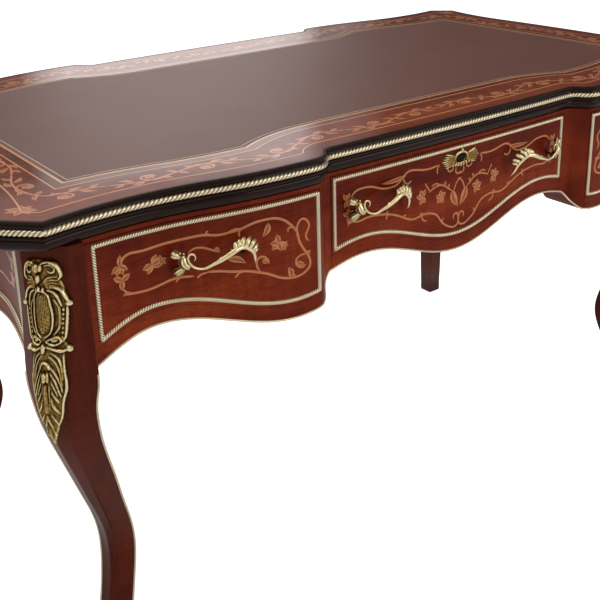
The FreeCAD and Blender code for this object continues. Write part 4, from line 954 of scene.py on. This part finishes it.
def border_unit(flip):
    """One length of the running scroll about its middle, as (along, across): a stem in an S,
    and on each half, turned about, a curl, five leaves and a flower."""
    s = np.linspace(-wave_length / 2, wave_length / 2, 15)
    stem = np.column_stack([s, 12 * np.sin(2 * np.pi * s / wave_length)])
    parts = [strip(stem, 3.0, (0.02, 0.02))]
    parts += [strip(half * border_curl, 3.0) for half in (1, -1)]
    parts += [leaf(half * np.array(base), half * np.array(tip), width, bend)
              for base, tip, width, bend in border_leaves for half in (1, -1)]
    for half in (1, -1):
        parts += petals((half * 35, -half), 9, flower_angles, 0.6)
    return mirrored(parts) if flip else parts


def set_in_border(part, x, y, number):
    """A cut part at plan points x and y of the top, a hair over it and tucked in at its edges."""
    over = surface + 0.04 + 0.01 * (number % 13)
    z = np.where(part[..., 2] > 0, over, surface - 0.2)
    return cut_out(np.stack([x, y, z], -1), part)


middle_line = inset_line(fine_path, border_inset)
padded = np.concatenate([middle_line[-smoothing:], middle_line, middle_line[:smoothing]])
summed = np.cumsum(padded, axis=0)
middle_line = (summed[2 * smoothing:] - summed[:-2 * smoothing]) / (2 * smoothing)
middle_line = np.concatenate([middle_line, middle_line[:1]])
gap = np.linalg.norm(np.diff(middle_line, axis=0), axis=1)
travelled = np.concatenate([[0], np.cumsum(gap)])
heading_in = np.column_stack([-np.gradient(middle_line[:, 1]), np.gradient(middle_line[:, 0])])
heading_in /= np.linalg.norm(heading_in, axis=1)[:, None]
units = int(round(travelled[-1] / wave_length / 4)) * 4
unit_length = travelled[-1] / units
parts = []
for number in range(units):
    start = (number + 0.5) * unit_length
    for part in border_unit((number * 4 // units) % 2 == 1):
        along = (start + part[..., 0] * unit_length / wave_length) % travelled[-1]
        x = np.interp(along, travelled, middle_line[:, 0])
        y = np.interp(along, travelled, middle_line[:, 1])
        in_x = np.interp(along, travelled, heading_in[:, 0])
        in_y = np.interp(along, travelled, heading_in[:, 1])
        from_corner = np.hypot(np.abs(x) - corner_middle[0], np.abs(y) - corner_middle[1])
        if from_corner.min() < corner_clearance:
            continue
        parts.append(set_in_border(part, x + part[..., 1] * in_x, y + part[..., 1] * in_y,
                                   len(parts)))
corner_leaves = (petals((0, 0), 21, (-40, -5, 45, 95, 130), 0.42)
                 + petals((0, 0), 15, (195, 255), 0.5))
for sign_x, sign_y in ((1, 1), (-1, 1), (1, -1), (-1, -1)):
    for part in corner_leaves:
        part = part if sign_x * sign_y > 0 else part[:, ::-1]
        x = sign_x * (corner_middle[0] + part[..., 0])
        y = sign_y * (corner_middle[1] + part[..., 1])
        parts.append(set_in_border(part, x, y, len(parts)))
points, faces, tone = join_parts(parts)
add_piece("top_border_marquetry", points, faces, polished_inlay, "carcass",
          tone=tone)


# Corner mounts, handles and escutcheon
# Cast bronze acanthus work, gilt and then darkened in the hollows so that only the ridges stay bright.
# On the mounts a tone made from the height of the casting drives that colour; on the handles the tone
# is painted light, paler on faces turned up and darker underneath, and the keyhole is a flat patch of
# painted shadow.

bronze, tree = new_material("bronze_cast_antiqued_with_painted_light")
place = add_node(tree, "TexCoord").outputs["Object"]
grime = add_node(tree, "TexNoise", {"Vector": place, "Scale": 260.0, "Detail": 3.0}).outputs["Fac"]
# One ramp: patina where the tone is the casting's height (mounts), painted light where the tone comes
# from facing (handles), and painted shadow at the keyhole.
patina_and_painted_light = toned(tree, grime, 0.4, [(0.34, "#1c1208"), (0.52, "#4a3415"), (0.68, "#80612b"),
                                  (0.84, "#b89a5c"), (1.0, "#e6d8ac")])
pitted = add_node(tree, "Bump", {"Height": grime, "Strength": 0.3, "Distance": 0.0006}).outputs[0]
close_material(tree, {
    "Base Color": patina_and_painted_light, "Metallic": 0.9, "Roughness": 0.36, "Normal": pitted})


def relief(rows, columns, strokes, ground):
    """Height of a casting over its seat on a grid. Each stroke is (knots, radius, base): a
    round rib whose height is base + radius sqrt(1 - (d / radius)^2), with d the distance to
    its curve and the radius running out at its ends. The highest rib wins over the ground."""
    height = ground.copy()
    grid = np.stack(np.meshgrid(rows, columns, indexing="ij"), -1)
    for knots, radius, base in strokes:
        line = smooth_curve(knots, 1.2) if len(knots) > 1 else np.asarray(knots, float)
        share = np.linspace(0, 1, len(line)) if len(line) > 1 else np.array([0.5])
        size = radius * (0.45 + 0.55 * np.sin(np.pi * share) ** 0.6)
        low, high = line.min(0) - radius, line.max(0) + radius
        i = slice(*np.searchsorted(rows, (low[0], high[0])))
        j = slice(*np.searchsorted(columns, (low[1], high[1])))
        near = grid[i, j]
        gap = np.linalg.norm(near[:, :, None] - line, axis=3)
        dome = base + size * np.sqrt(np.clip(1 - (gap / size) ** 2, 0, None))
        dome = np.where(gap < size, dome, -9).max(2) if dome.size else near[..., 0]
        height[i, j] = np.maximum(height[i, j], dome)
    return height


def blurred(height, passes):
    """The mean of each point and its four neighbours, taken again and again."""
    for _ in range(passes):
        padded = np.pad(height, 1, mode="edge")
        height = (padded[1:-1, 1:-1] + padded[:-2, 1:-1] + padded[2:, 1:-1]
                  + padded[1:-1, :-2] + padded[1:-1, 2:]) / 5
    return height


level_tone, tone_per_mm, blur_passes = 0.47, 0.27, 18


def ridge_tone(height):
    """Bright where the casting stands over what is round it, dark where it lies below."""
    over = height - blurred(height, blur_passes)
    return np.clip(level_tone + over * tone_per_mm, 0, 1)


mount_half = [
    ([(5, 0), (16, 0)], 3.4, 5.4), ([(6, 5), (15, 4)], 2.8, 4.8), ([(20, 0), (30, 0)], 3.6, 4.4),
    ([(6, 5), (2, 13), (4, 21), (12, 26), (21, 27), (25, 24)], 2.3, 4.6),
    ([(8, 9), (6, 16), (10, 21), (16, 18), (14, 12)], 1.8, 4.6),
    ([(40, 9), (42, 17), (50, 22), (60, 25)], 1.9, 5.0),
    ([(35, 17), (38, 25), (47, 30), (54, 33)], 2.1, 4.8), ([(54, 33), (57, 33)], 4.0, 3.5),
    ([(36, 0), (42, 0)], 2.4, 5.0), ([(37, 5), (42, 5)], 1.9, 4.6),
    ([(41, 0), (45, 9), (56, 12), (71, 14), (86, 13), (97, 9), (103, 2)], 1.5, 5.8),
    ([(60, 31), (74, 30), (92, 28), (104, 25), (110, 19)], 1.9, 4.0),
    ([(52, 16), (60, 21), (74, 22), (89, 20), (99, 13)], 2.1, 4.2),
    ([(107, 4), (103, 11), (101, 18), (104, 22), (110, 17), (111, 9), (108, 4)], 1.4, 6.0),
    ([(106, 11), (104, 18)], 2.5, 4.8), ([(112, 0), (122, 0)], 3.2, 5.4),
    ([(115, 3), (117, 12), (119, 21), (115, 30)], 1.7, 5.0), ([(113, 30), (117, 31)], 3.6, 3.4),
    ([(122, 8), (127, 16), (141, 21), (156, 22)], 1.5, 4.6),
    ([(127, 6), (134, 14), (148, 19), (164, 21)], 1.5, 4.6),
    ([(137, 5), (146, 12), (158, 18), (172, 21)], 1.6, 4.6),
    ([(148, 7), (156, 12), (168, 16), (178, 19)], 1.6, 4.6),
    ([(160, 8), (168, 12), (178, 15)], 1.5, 4.4), ([(172, 8), (180, 12), (187, 16)], 1.5, 4.4),
    ([(181, 7), (192, 9), (202, 16)], 1.7, 4.4),
    ([(124, 23), (145, 24), (168, 25), (184, 21), (208, 17), (222, 11)], 1.6, 3.6),
    ([(204, 5), (212, 9), (220, 12)], 1.5, 4.0), ([(206, 0), (216, 2), (226, 5)], 1.4, 4.4),
    ([(225, 2), (233, 5), (241, 5)], 1.6, 3.6), ([(228, 0), (247, 0)], 1.8, 3.4),
    ([(143, 7), (137, 5), (135, 0)], 1.7, 6.0), ([(149, 0), (159, 0)], 3.4, 5.8),
    ([(148, 4), (160, 4)], 1.9, 5.0), ([(164, 0), (182, 0), (202, 1)], 3.6, 3.6),
    ([(163, 5), (184, 5), (200, 4)], 1.1, 4.2),
] + [([(44 + 0.9 * b, b), (72, b), (99 - 0.8 * b, b * 0.85)], 0.95, 5.0 - 0.012 * b * b)
     for b in (0.0, 1.9, 3.8, 5.7, 7.6, 9.5)] \
  + [([(30 + 1.8 * i, 6 + 0.6 * i), (23 + 3.3 * i, 13 + i), (22 + 4.8 * i, 22 + i)], 1.3, 4.7)
     for i in range(5)] \
  + [([(63 + 6 * i, 26.5 - 0.5 * i), (66 + 6 * i, 26.5 - 0.5 * i)], 1.7, 4.3) for i in range(7)]
mount_strokes = mount_half + [([(a, -b) for a, b in knots], radius, base)
                              for knots, radius, base in mount_half]
drawn_length, mount_length, mount_top = 262.0, 245.0, 686.0

# The casting's axis lies off the middle of the clip, toward the end of the desk, and its halves
# are drawn out to unlike widths, so that both reach about equally far round the leg.
mount_axis, broad_side, narrow_side = -10.5, 1.06, 0.48
body_height, sunk = 3.2, -1.2
mount_down = np.linspace(0, drawn_length, 262)
mount_wide = np.linspace(-37, 37, 157)
width_at = [0, 3, 12, 26, 39, 48, 55, 61, 80, 95, 106, 115, 122, 141, 169, 185, 209, 224, 239, 250,
            262]
half_width = [18, 23, 28, 26, 30, 33, 36, 32, 31, 29, 25, 33, 25, 25, 26, 21, 18, 12, 7, 3, -1]
limit = np.interp(mount_down, width_at, half_width)[:, None]
inside = np.clip((limit - np.abs(mount_wide)[None]) / 1.5, -1, 1)
ground = np.where(inside > 0, body_height * np.sqrt(np.clip(inside, 0, 1)), sunk)
casting = relief(mount_down, mount_wide, mount_strokes, ground)
casting = blurred(casting, 1)
mount_tone = ridge_tone(casting)


bend_width = 12.0


def on_clip(a, b, height):
    """Points over the clipped arris of the back right leg: a drawn mm under the mount's top,
    b mm across. Beyond the clip the casting bends round onto the two faces of the leg."""
    z = mount_top - a * mount_length / drawn_length
    reach, clip = outer_at(z)
    half = clip / math.sqrt(2)
    over = np.abs(b) - half
    bend = np.clip((over + bend_width / 2) / bend_width, 0, 1)
    turn = math.pi / 4 * wave(bend)
    flat = np.minimum(np.abs(b), half)
    past = np.maximum(over, 0)
    middle = (post_corner[0] + reach - clip / 2, post_corner[1] + reach - clip / 2)
    side = np.sign(b)
    root = math.sqrt(0.5)
    x = middle[0] - side * flat * root - np.where(side > 0, past, 0)
    y = middle[1] + side * flat * root - np.where(side < 0, past, 0)
    angle = math.pi / 4 + side * turn
    return np.stack([x + height * np.cos(angle), y + height * np.sin(angle),
                     z + np.zeros_like(x)], -1)


for end, sign_y in (("front", -1), ("back", 1)):
    parts = []
    for sign_x in (-1, 1):
        side_scale = np.where(mount_wide > 0, broad_side, narrow_side)
        points = on_clip(mount_down[:, None], (mount_axis + side_scale * mount_wide)[None], casting)
        faces = grid_faces(len(mount_down), len(mount_wide))
        if sign_x * sign_y < 0:
            faces = faces[:, ::-1]
        parts.append(((points * (sign_x, sign_y, 1)).reshape(-1, 3), faces, mount_tone.ravel()))
    lay_metal(f"leg_castings_{end}", parts, bronze, "carcass", f"leg_mounts_{end}")


def limb(knots, radii, flutes=0, depth=0.0):
    """A cast stem or lobe along a curve in (u, z, rise): rings of ten points, or fourteen where it is
    fluted, whose radius follows the radii and runs out at both ends. Gives tone too: painted light,
    paler where the surface faces up and darker where it faces down, and darker in the grooves of the
    flutes."""
    line = smooth_curve(knots, 1.6)
    share = np.linspace(0, 1, len(line))
    size = spline(np.linspace(0, 1, len(radii)), radii, share)
    size = np.maximum(size, 0.3) * np.minimum(1, np.sqrt(np.minimum(share, 1 - share) * 14))
    ahead = np.gradient(line, axis=0)
    ahead /= np.linalg.norm(ahead, axis=1)[:, None]
    first = np.cross(ahead, (0.0, 0.0, 1.0))
    first /= np.maximum(np.linalg.norm(first, axis=1), 1e-3)[:, None]
    second = np.cross(first, ahead)
    count = 14 if flutes else 10
    angle = np.linspace(0, 2 * math.pi, count, endpoint=False)
    ripple = 1 + depth * np.cos(flutes * angle)
    ring = size[:, None] * ripple
    spots = (line[:, None] + first[:, None] * (ring * np.cos(angle))[..., None]
             + second[:, None] * (ring * np.sin(angle))[..., None])
    painted_light_from_above = (second[:, 2:] * np.sin(angle) + first[:, 2:] * np.cos(angle))
    # Painted light: the tone is raised on faces turned up and lowered on faces turned down, and
    # lowered in the flute grooves.
    tone = 0.56 + 0.36 * painted_light_from_above + 1.6 * (ripple - 1)
    return spots, np.broadcast_to(tone, spots.shape[:2])


handle_limbs = [
    limb([(-32, 9, 22), (-30, 14, 22), (-33, 19, 22), (-38, 19, 22), (-40, 14, 22), (-38, 8, 22),
          (-33, 2, 22), (-25, -2, 22), (-17, -3, 22), (-8, 0, 23), (0, 3, 24), (9, 7, 24),
          (17, 11, 24), (25, 14, 23), (34, 14, 21), (43, 8, 18), (50, -1, 14), (53, -11, 10),
          (55, -20, 4)],
         [1.3, 1.4, 1.5, 1.6, 1.6, 1.8, 2.4, 3.2, 3.8, 3.6, 3.0, 2.8, 2.4, 2.0, 1.6]),
    limb([(-42, 18, 17), (-45, 12, 17), (-43, 6, 18), (-36, 2, 20)], [2.6, 5.0, 5.4, 2.8], 7, 0.2),
    limb([(-41, 6, 17), (-45, 10, 17), (-48, 15, 15), (-53, 19, 12), (-57, 21, 8)],
         [1.5, 1.7, 2.4, 5.0, 4.0], 5, 0.2),
    limb([(-41, 6, 17), (-44, 1, 14), (-48, -4, 9), (-52, -9, 4)], [2.2, 3.4, 5.8, 4.2], 7, 0.2),
    limb([(-46, 20, 13), (-48, 20, 14)], [1.9, 1.9]), limb([(-42, 20, 16), (-44, 19, 16)], [1.7, 1.7]),
    limb([(-46, 6, 13), (-49, 6, 13)], [1.9, 1.9]),
    limb([(-45, 10, 14), (-45, 10, 6), (-45, 10, -1)], [3.0, 4.0, 5.0]),
    limb([(51, 1, 12), (51, 1, 6), (51, 1, -1)], [2.4, 3.0, 4.0]),
    limb([(11, 7, 24), (15, 11, 24), (18, 16, 23)], [2.4, 2.0, 0.7]),
    limb([(-1, 3, 24), (2, 6, 24), (4, 9, 24)], [2.0, 1.6, 0.7]),
    limb([(23, 12, 22), (23, 18, 20), (26, 22, 17)], [2.2, 3.2, 2.0]),
    limb([(27, 13, 22), (28, 20, 20), (31, 24, 16)], [2.2, 3.2, 2.0]),
    limb([(31, 14, 22), (33, 21, 20), (38, 25, 15)], [2.2, 3.3, 2.1]),
    limb([(36, 12, 21), (40, 19, 19), (46, 23, 13)], [2.2, 3.3, 2.2]),
    limb([(42, 9, 19), (47, 15, 17), (54, 17, 11)], [2.2, 3.3, 2.1]),
    limb([(47, 4, 16), (52, 8, 14), (58, 9, 8)], [2.2, 3.0, 1.8]),
    limb([(50, 0, 14), (54, 3, 12), (58, 3, 8)], [2.0, 2.6, 1.4]),
]


def cast_on_front(name, placed, body, replaced):
    """Puts limbs on the front face; placed is a list of (limbs, centre u, centre z, mirror)."""
    parts = []
    for limbs, u, z, flip in placed:
        for spots, tone in limbs:
            across = (-spots[..., 0] if flip else spots[..., 0]) + u
            points, _ = on_face("front", across, spots[..., 1] + z, skin_height + spots[..., 2])
            faces = grid_faces(*spots.shape[:2], False, True)
            parts.append((points.reshape(-1, 3), faces[:, ::-1] if flip else faces,
                          tone.ravel()))
    lay_metal(name, parts, bronze, body, replaced)


handle_height = 637.0
handle_places = {"left": [(-450.0, False)], "right": [(450.0, True)],
                 "centre": [(-168.0, False), (168.0, True)]}
for name, places in handle_places.items():
    cast_on_front(f"drawer_{name}_pulls",
                  [(handle_limbs, u, handle_height, flip) for u, flip in places],
                  f"drawer_{name}", f"drawer_{name}_handles")

shield_strokes = [
    ([(-3, 15), (6, 11), (10, 0), (6, -11), (-3, -15)], 2.2, 2.4), ([(9, 0), (14, 3)], 2.2, 2.4),
    ([(-6, 12), (-8, 0), (-6, -12)], 1.8, 1.8),
]
for sign in (-1, 1):
    shield_strokes += [([(1.5 * lean, sign * 13), (2.6 * lean, sign * 22),
                         (3.4 * lean, sign * (38 - 2.4 * abs(lean)))], 2.0, 2.0)
                       for lean in (-3, -2, -1, 0, 1, 2, 3)]
shield_strokes += [([(-6, across), (-13 + abs(across) / 5, across * 1.2)], 1.9, 1.8)
                   for across in (-15, -10, -5, 0, 5, 10, 15)]
shield_middle = 672.0
shield_up = np.linspace(-17, 17, 69)
shield_wide = np.linspace(-42, 42, 169)
keyhole = (shield_wide[None] / 11) ** 2 + ((shield_up[:, None] - 1) / 7) ** 2 < 1
plate = (np.abs(shield_up)[:, None] < 8) & (np.abs(shield_wide)[None] < 15)
ground = np.where(plate, 1.2, sunk)
shield = blurred(relief(shield_up, shield_wide, shield_strokes, ground), 1)
# The keyhole is not cut through: a flat patch of its shape takes the darkest tone, a painted shadow
# standing for the hole.
shield = np.where(keyhole, 0.1, shield)
shield_patina_and_keyhole_shadow = np.where(keyhole, 0.0, ridge_tone(shield))
points, _ = on_face("front", np.broadcast_to(shield_wide, shield.shape),
                    shield_middle + np.broadcast_to(shield_up[:, None], shield.shape),
                    skin_height + shield)
shield_part = (points.reshape(-1, 3), grid_faces(*shield.shape)[:, ::-1], shield_patina_and_keyhole_shadow.ravel())
lay_metal("keyhole_shield", [shield_part], bronze, "drawer_centre", "escutcheon")


# Drawer boxes, carcase inside and ironwork
# Pale birch drawer linings left bare, the inside of the carcase stained black, and plain
# steel for the screws and the lock.

def plain_wood(name, colours, grain, roughness):
    """Bare wood: long fibres through a ramp, hardly any shine."""
    material, tree = new_material(name)
    place = add_node(tree, "TexCoord").outputs["Object"]
    fibre = stretched_noise(tree, place, grain, 260, 4.0)
    colour = add_node(tree, "ValToRGB", {"Fac": fibre}, stops=colours).outputs[0]
    rough = add_node(tree, "Bump", {"Height": fibre, "Strength": 0.2,
                                    "Distance": 0.0005}).outputs[0]
    close_material(tree, {"Base Color": colour, "Roughness": roughness, "Normal": rough})
    return material


birch = plain_wood("birch_linings_bare", [(0.35, "#b08a5c"), (0.65, "#cfae80")], "y", 0.6)
stained = plain_wood("carcase_stained_black", [(0.35, "#15100d"), (0.65, "#2a1f19")], "x", 0.55)
core = plain_wood("core_board_beech", [(0.35, "#8c6a48"), (0.65, "#a88258")], "x", 0.6)
steel, tree = new_material("steel_bright")
place = add_node(tree, "TexCoord").outputs["Object"]
dulled = add_node(tree, "TexNoise", {"Vector": place, "Scale": 120.0}).outputs["Fac"]
colour = add_node(tree, "ValToRGB", {"Fac": dulled},
                  stops=[(0.4, "#8c8c8a"), (0.6, "#b4b4b2")]).outputs[0]
close_material(tree, {"Base Color": colour, "Metallic": 1.0, "Roughness": 0.35})
by_slot = {"drawer_wood": birch, "black_carcase": stained, "substrate": core, "steel": steel,
           "gilt_bronze": gilt, "ebonised": ebony}
for part in frame["record"]["subparts"]:
    if part["material_slot"] in by_slot:
        finish_nodes(by_slot[part["material_slot"]], part["node"])
finish_nodes(mahogany_upright, *[f"leg_{name}" for name in leg_corners])

# The screws of the handles are given a near-black steel so that their ends, which show under the arch
# of each handle, read as the shade there: painted shade.
screw_shade_dark, tree = new_material("steel_darkened_as_painted_shade")
close_material(tree, {"Base Color": linear("#1d1815"), "Metallic": 0.6, "Roughness": 0.5})
finish_nodes(screw_shade_dark, *[name for name in nodes if "handle" in name and "screw" in name])


# Stage, light and camera
# A white floor, a broad lamp overhead and one in front, and soft light from all round. The
# room's panels are seen only in reflections. The camera's axes are fitted to the photograph.

floor_mesh = bpy.data.meshes.new("studio_floor")
floor_mesh.from_pydata([(-9, -9, 0), (9, -9, 0), (9, 9, 0), (-9, 9, 0)], [], [(0, 1, 2, 3)])
floor = bpy.data.objects.new("studio_floor", floor_mesh)
bpy.context.scene.collection.objects.link(floor)
white, tree = new_material("studio_white")
paint = add_node(tree, "BsdfDiffuse", {"Color": linear("#f4f4f4")}).outputs[0]
glow = add_node(tree, "Emission", {"Color": (1, 1, 1, 1), "Strength": 0.85}).outputs[0]
rays = add_node(tree, "LightPath").outputs
lit = add_node(tree, "AddShader", {0: paint, 1: glow}).outputs[0]
shine = add_node(tree, "MixShader", {0: rays["Is Glossy Ray"], 1: paint, 2: glow}).outputs[0]
cover = add_node(tree, "MixShader", {0: rays["Is Camera Ray"], 1: shine, 2: lit}).outputs[0]
add_node(tree, "OutputMaterial", {"Surface": cover})
floor_mesh.materials.append(white)

world = bpy.data.worlds.new("studio")
world.use_nodes = True
bpy.context.scene.world = world
tree = world.node_tree
tree.nodes.clear()
axes = add_node(tree, "SeparateXYZ", {0: add_node(tree, "TexCoord").outputs["Generated"]}).outputs
bearing = add_node(tree, "Math", {0: axes["Y"], 1: axes["X"]}, operation="ARCTAN2").outputs[0]
share = weighted(tree, bearing, 0.5 / math.pi, 0.5)
below = add_node(tree, "ValToRGB", {"Fac": share}, stops=[
    (0.0, "#606060"), (0.08, "#f0f0f0"), (0.19, "#f0f0f0"), (0.21, "#505050"), (0.30, "#505050"),
    (0.32, "#c8c8c8"), (0.38, "#c8c8c8"), (0.40, "#383838"), (0.634, "#383838"),
    (0.639, "#858585"), (0.646, "#858585"), (0.649, "#ffffff"), (0.690, "#ffffff"),
    (0.694, "#525252"), (1.0, "#606060")]).outputs[0]
above = add_node(tree, "ValToRGB", {"Fac": share}, stops=[
    (0.0, "#909090"), (0.4, "#808080"), (0.634, "#484848"), (0.650, "#aaaaaa"),
    (0.690, "#aaaaaa"), (0.72, "#808080"), (1.0, "#909090")]).outputs[0]
height = add_node(tree, "ValToRGB", {"Fac": axes["Z"]},
                  stops=[(0.30, "#000000"), (0.325, "#ffffff")]).outputs[0]
room = add_node(tree, "Mix", {"Factor": height, 6: below, 7: above}, data_type="RGBA").outputs[2]
mirrored_room = add_node(tree, "Background", {"Color": room, "Strength": 1.5}).outputs[0]
soft = add_node(tree, "Background", {"Color": (1, 1, 1, 1), "Strength": 0.45}).outputs[0]
plain = add_node(tree, "Background", {"Color": (1, 1, 1, 1), "Strength": 1.0}).outputs[0]
rays = add_node(tree, "LightPath").outputs
inside = add_node(tree, "MixShader", {0: rays["Is Glossy Ray"], 1: soft, 2: mirrored_room}).outputs[0]
both = add_node(tree, "MixShader", {0: rays["Is Camera Ray"], 1: inside, 2: plain}).outputs[0]
add_node(tree, "OutputWorld", {"Surface": both})


def add_lamp(name, place, aim, size, watts, colour):
    lamp = bpy.data.lights.new(name, "AREA")
    lamp.shape = "RECTANGLE"
    lamp.size, lamp.size_y = size
    lamp.energy = watts
    lamp.color = linear(colour)[:3]
    holder = bpy.data.objects.new(name, lamp)
    holder.location = place
    toward = Vector(aim) - Vector(place)
    holder.rotation_euler = toward.to_track_quat("-Z", "Y").to_euler()
    bpy.context.scene.collection.objects.link(holder)


add_lamp("lamp_overhead", (-0.6, 0.4, 3.2), (0, 0, 0.7), (3.0, 2.4), 60.0, "#fffaf2")
add_lamp("lamp_front", (1.6, -3.2, 1.9), (0, 0, 0.6), (2.2, 1.6), 40.0, "#fff6ea")

camera = bpy.data.cameras.new("camera")
camera.lens, camera.sensor_width = 56.235, 36.0
camera.shift_x, camera.shift_y = 0.0, -0.2
eye = bpy.data.objects.new("camera", camera)
right = Vector((0.79880, -0.60104, -0.02582))
down = Vector((-0.21526, -0.24550, -0.94519))
ahead = Vector((0.56176, 0.76058, -0.32549))
turn = Matrix((right, -down, -ahead)).transposed().to_4x4()
eye.matrix_world = Matrix.Translation((-1.00512, -1.31498, 1.11088)) @ turn
bpy.context.scene.collection.objects.link(eye)
bpy.context.scene.camera = eye
bpy.context.scene.view_settings.view_transform = "Standard"
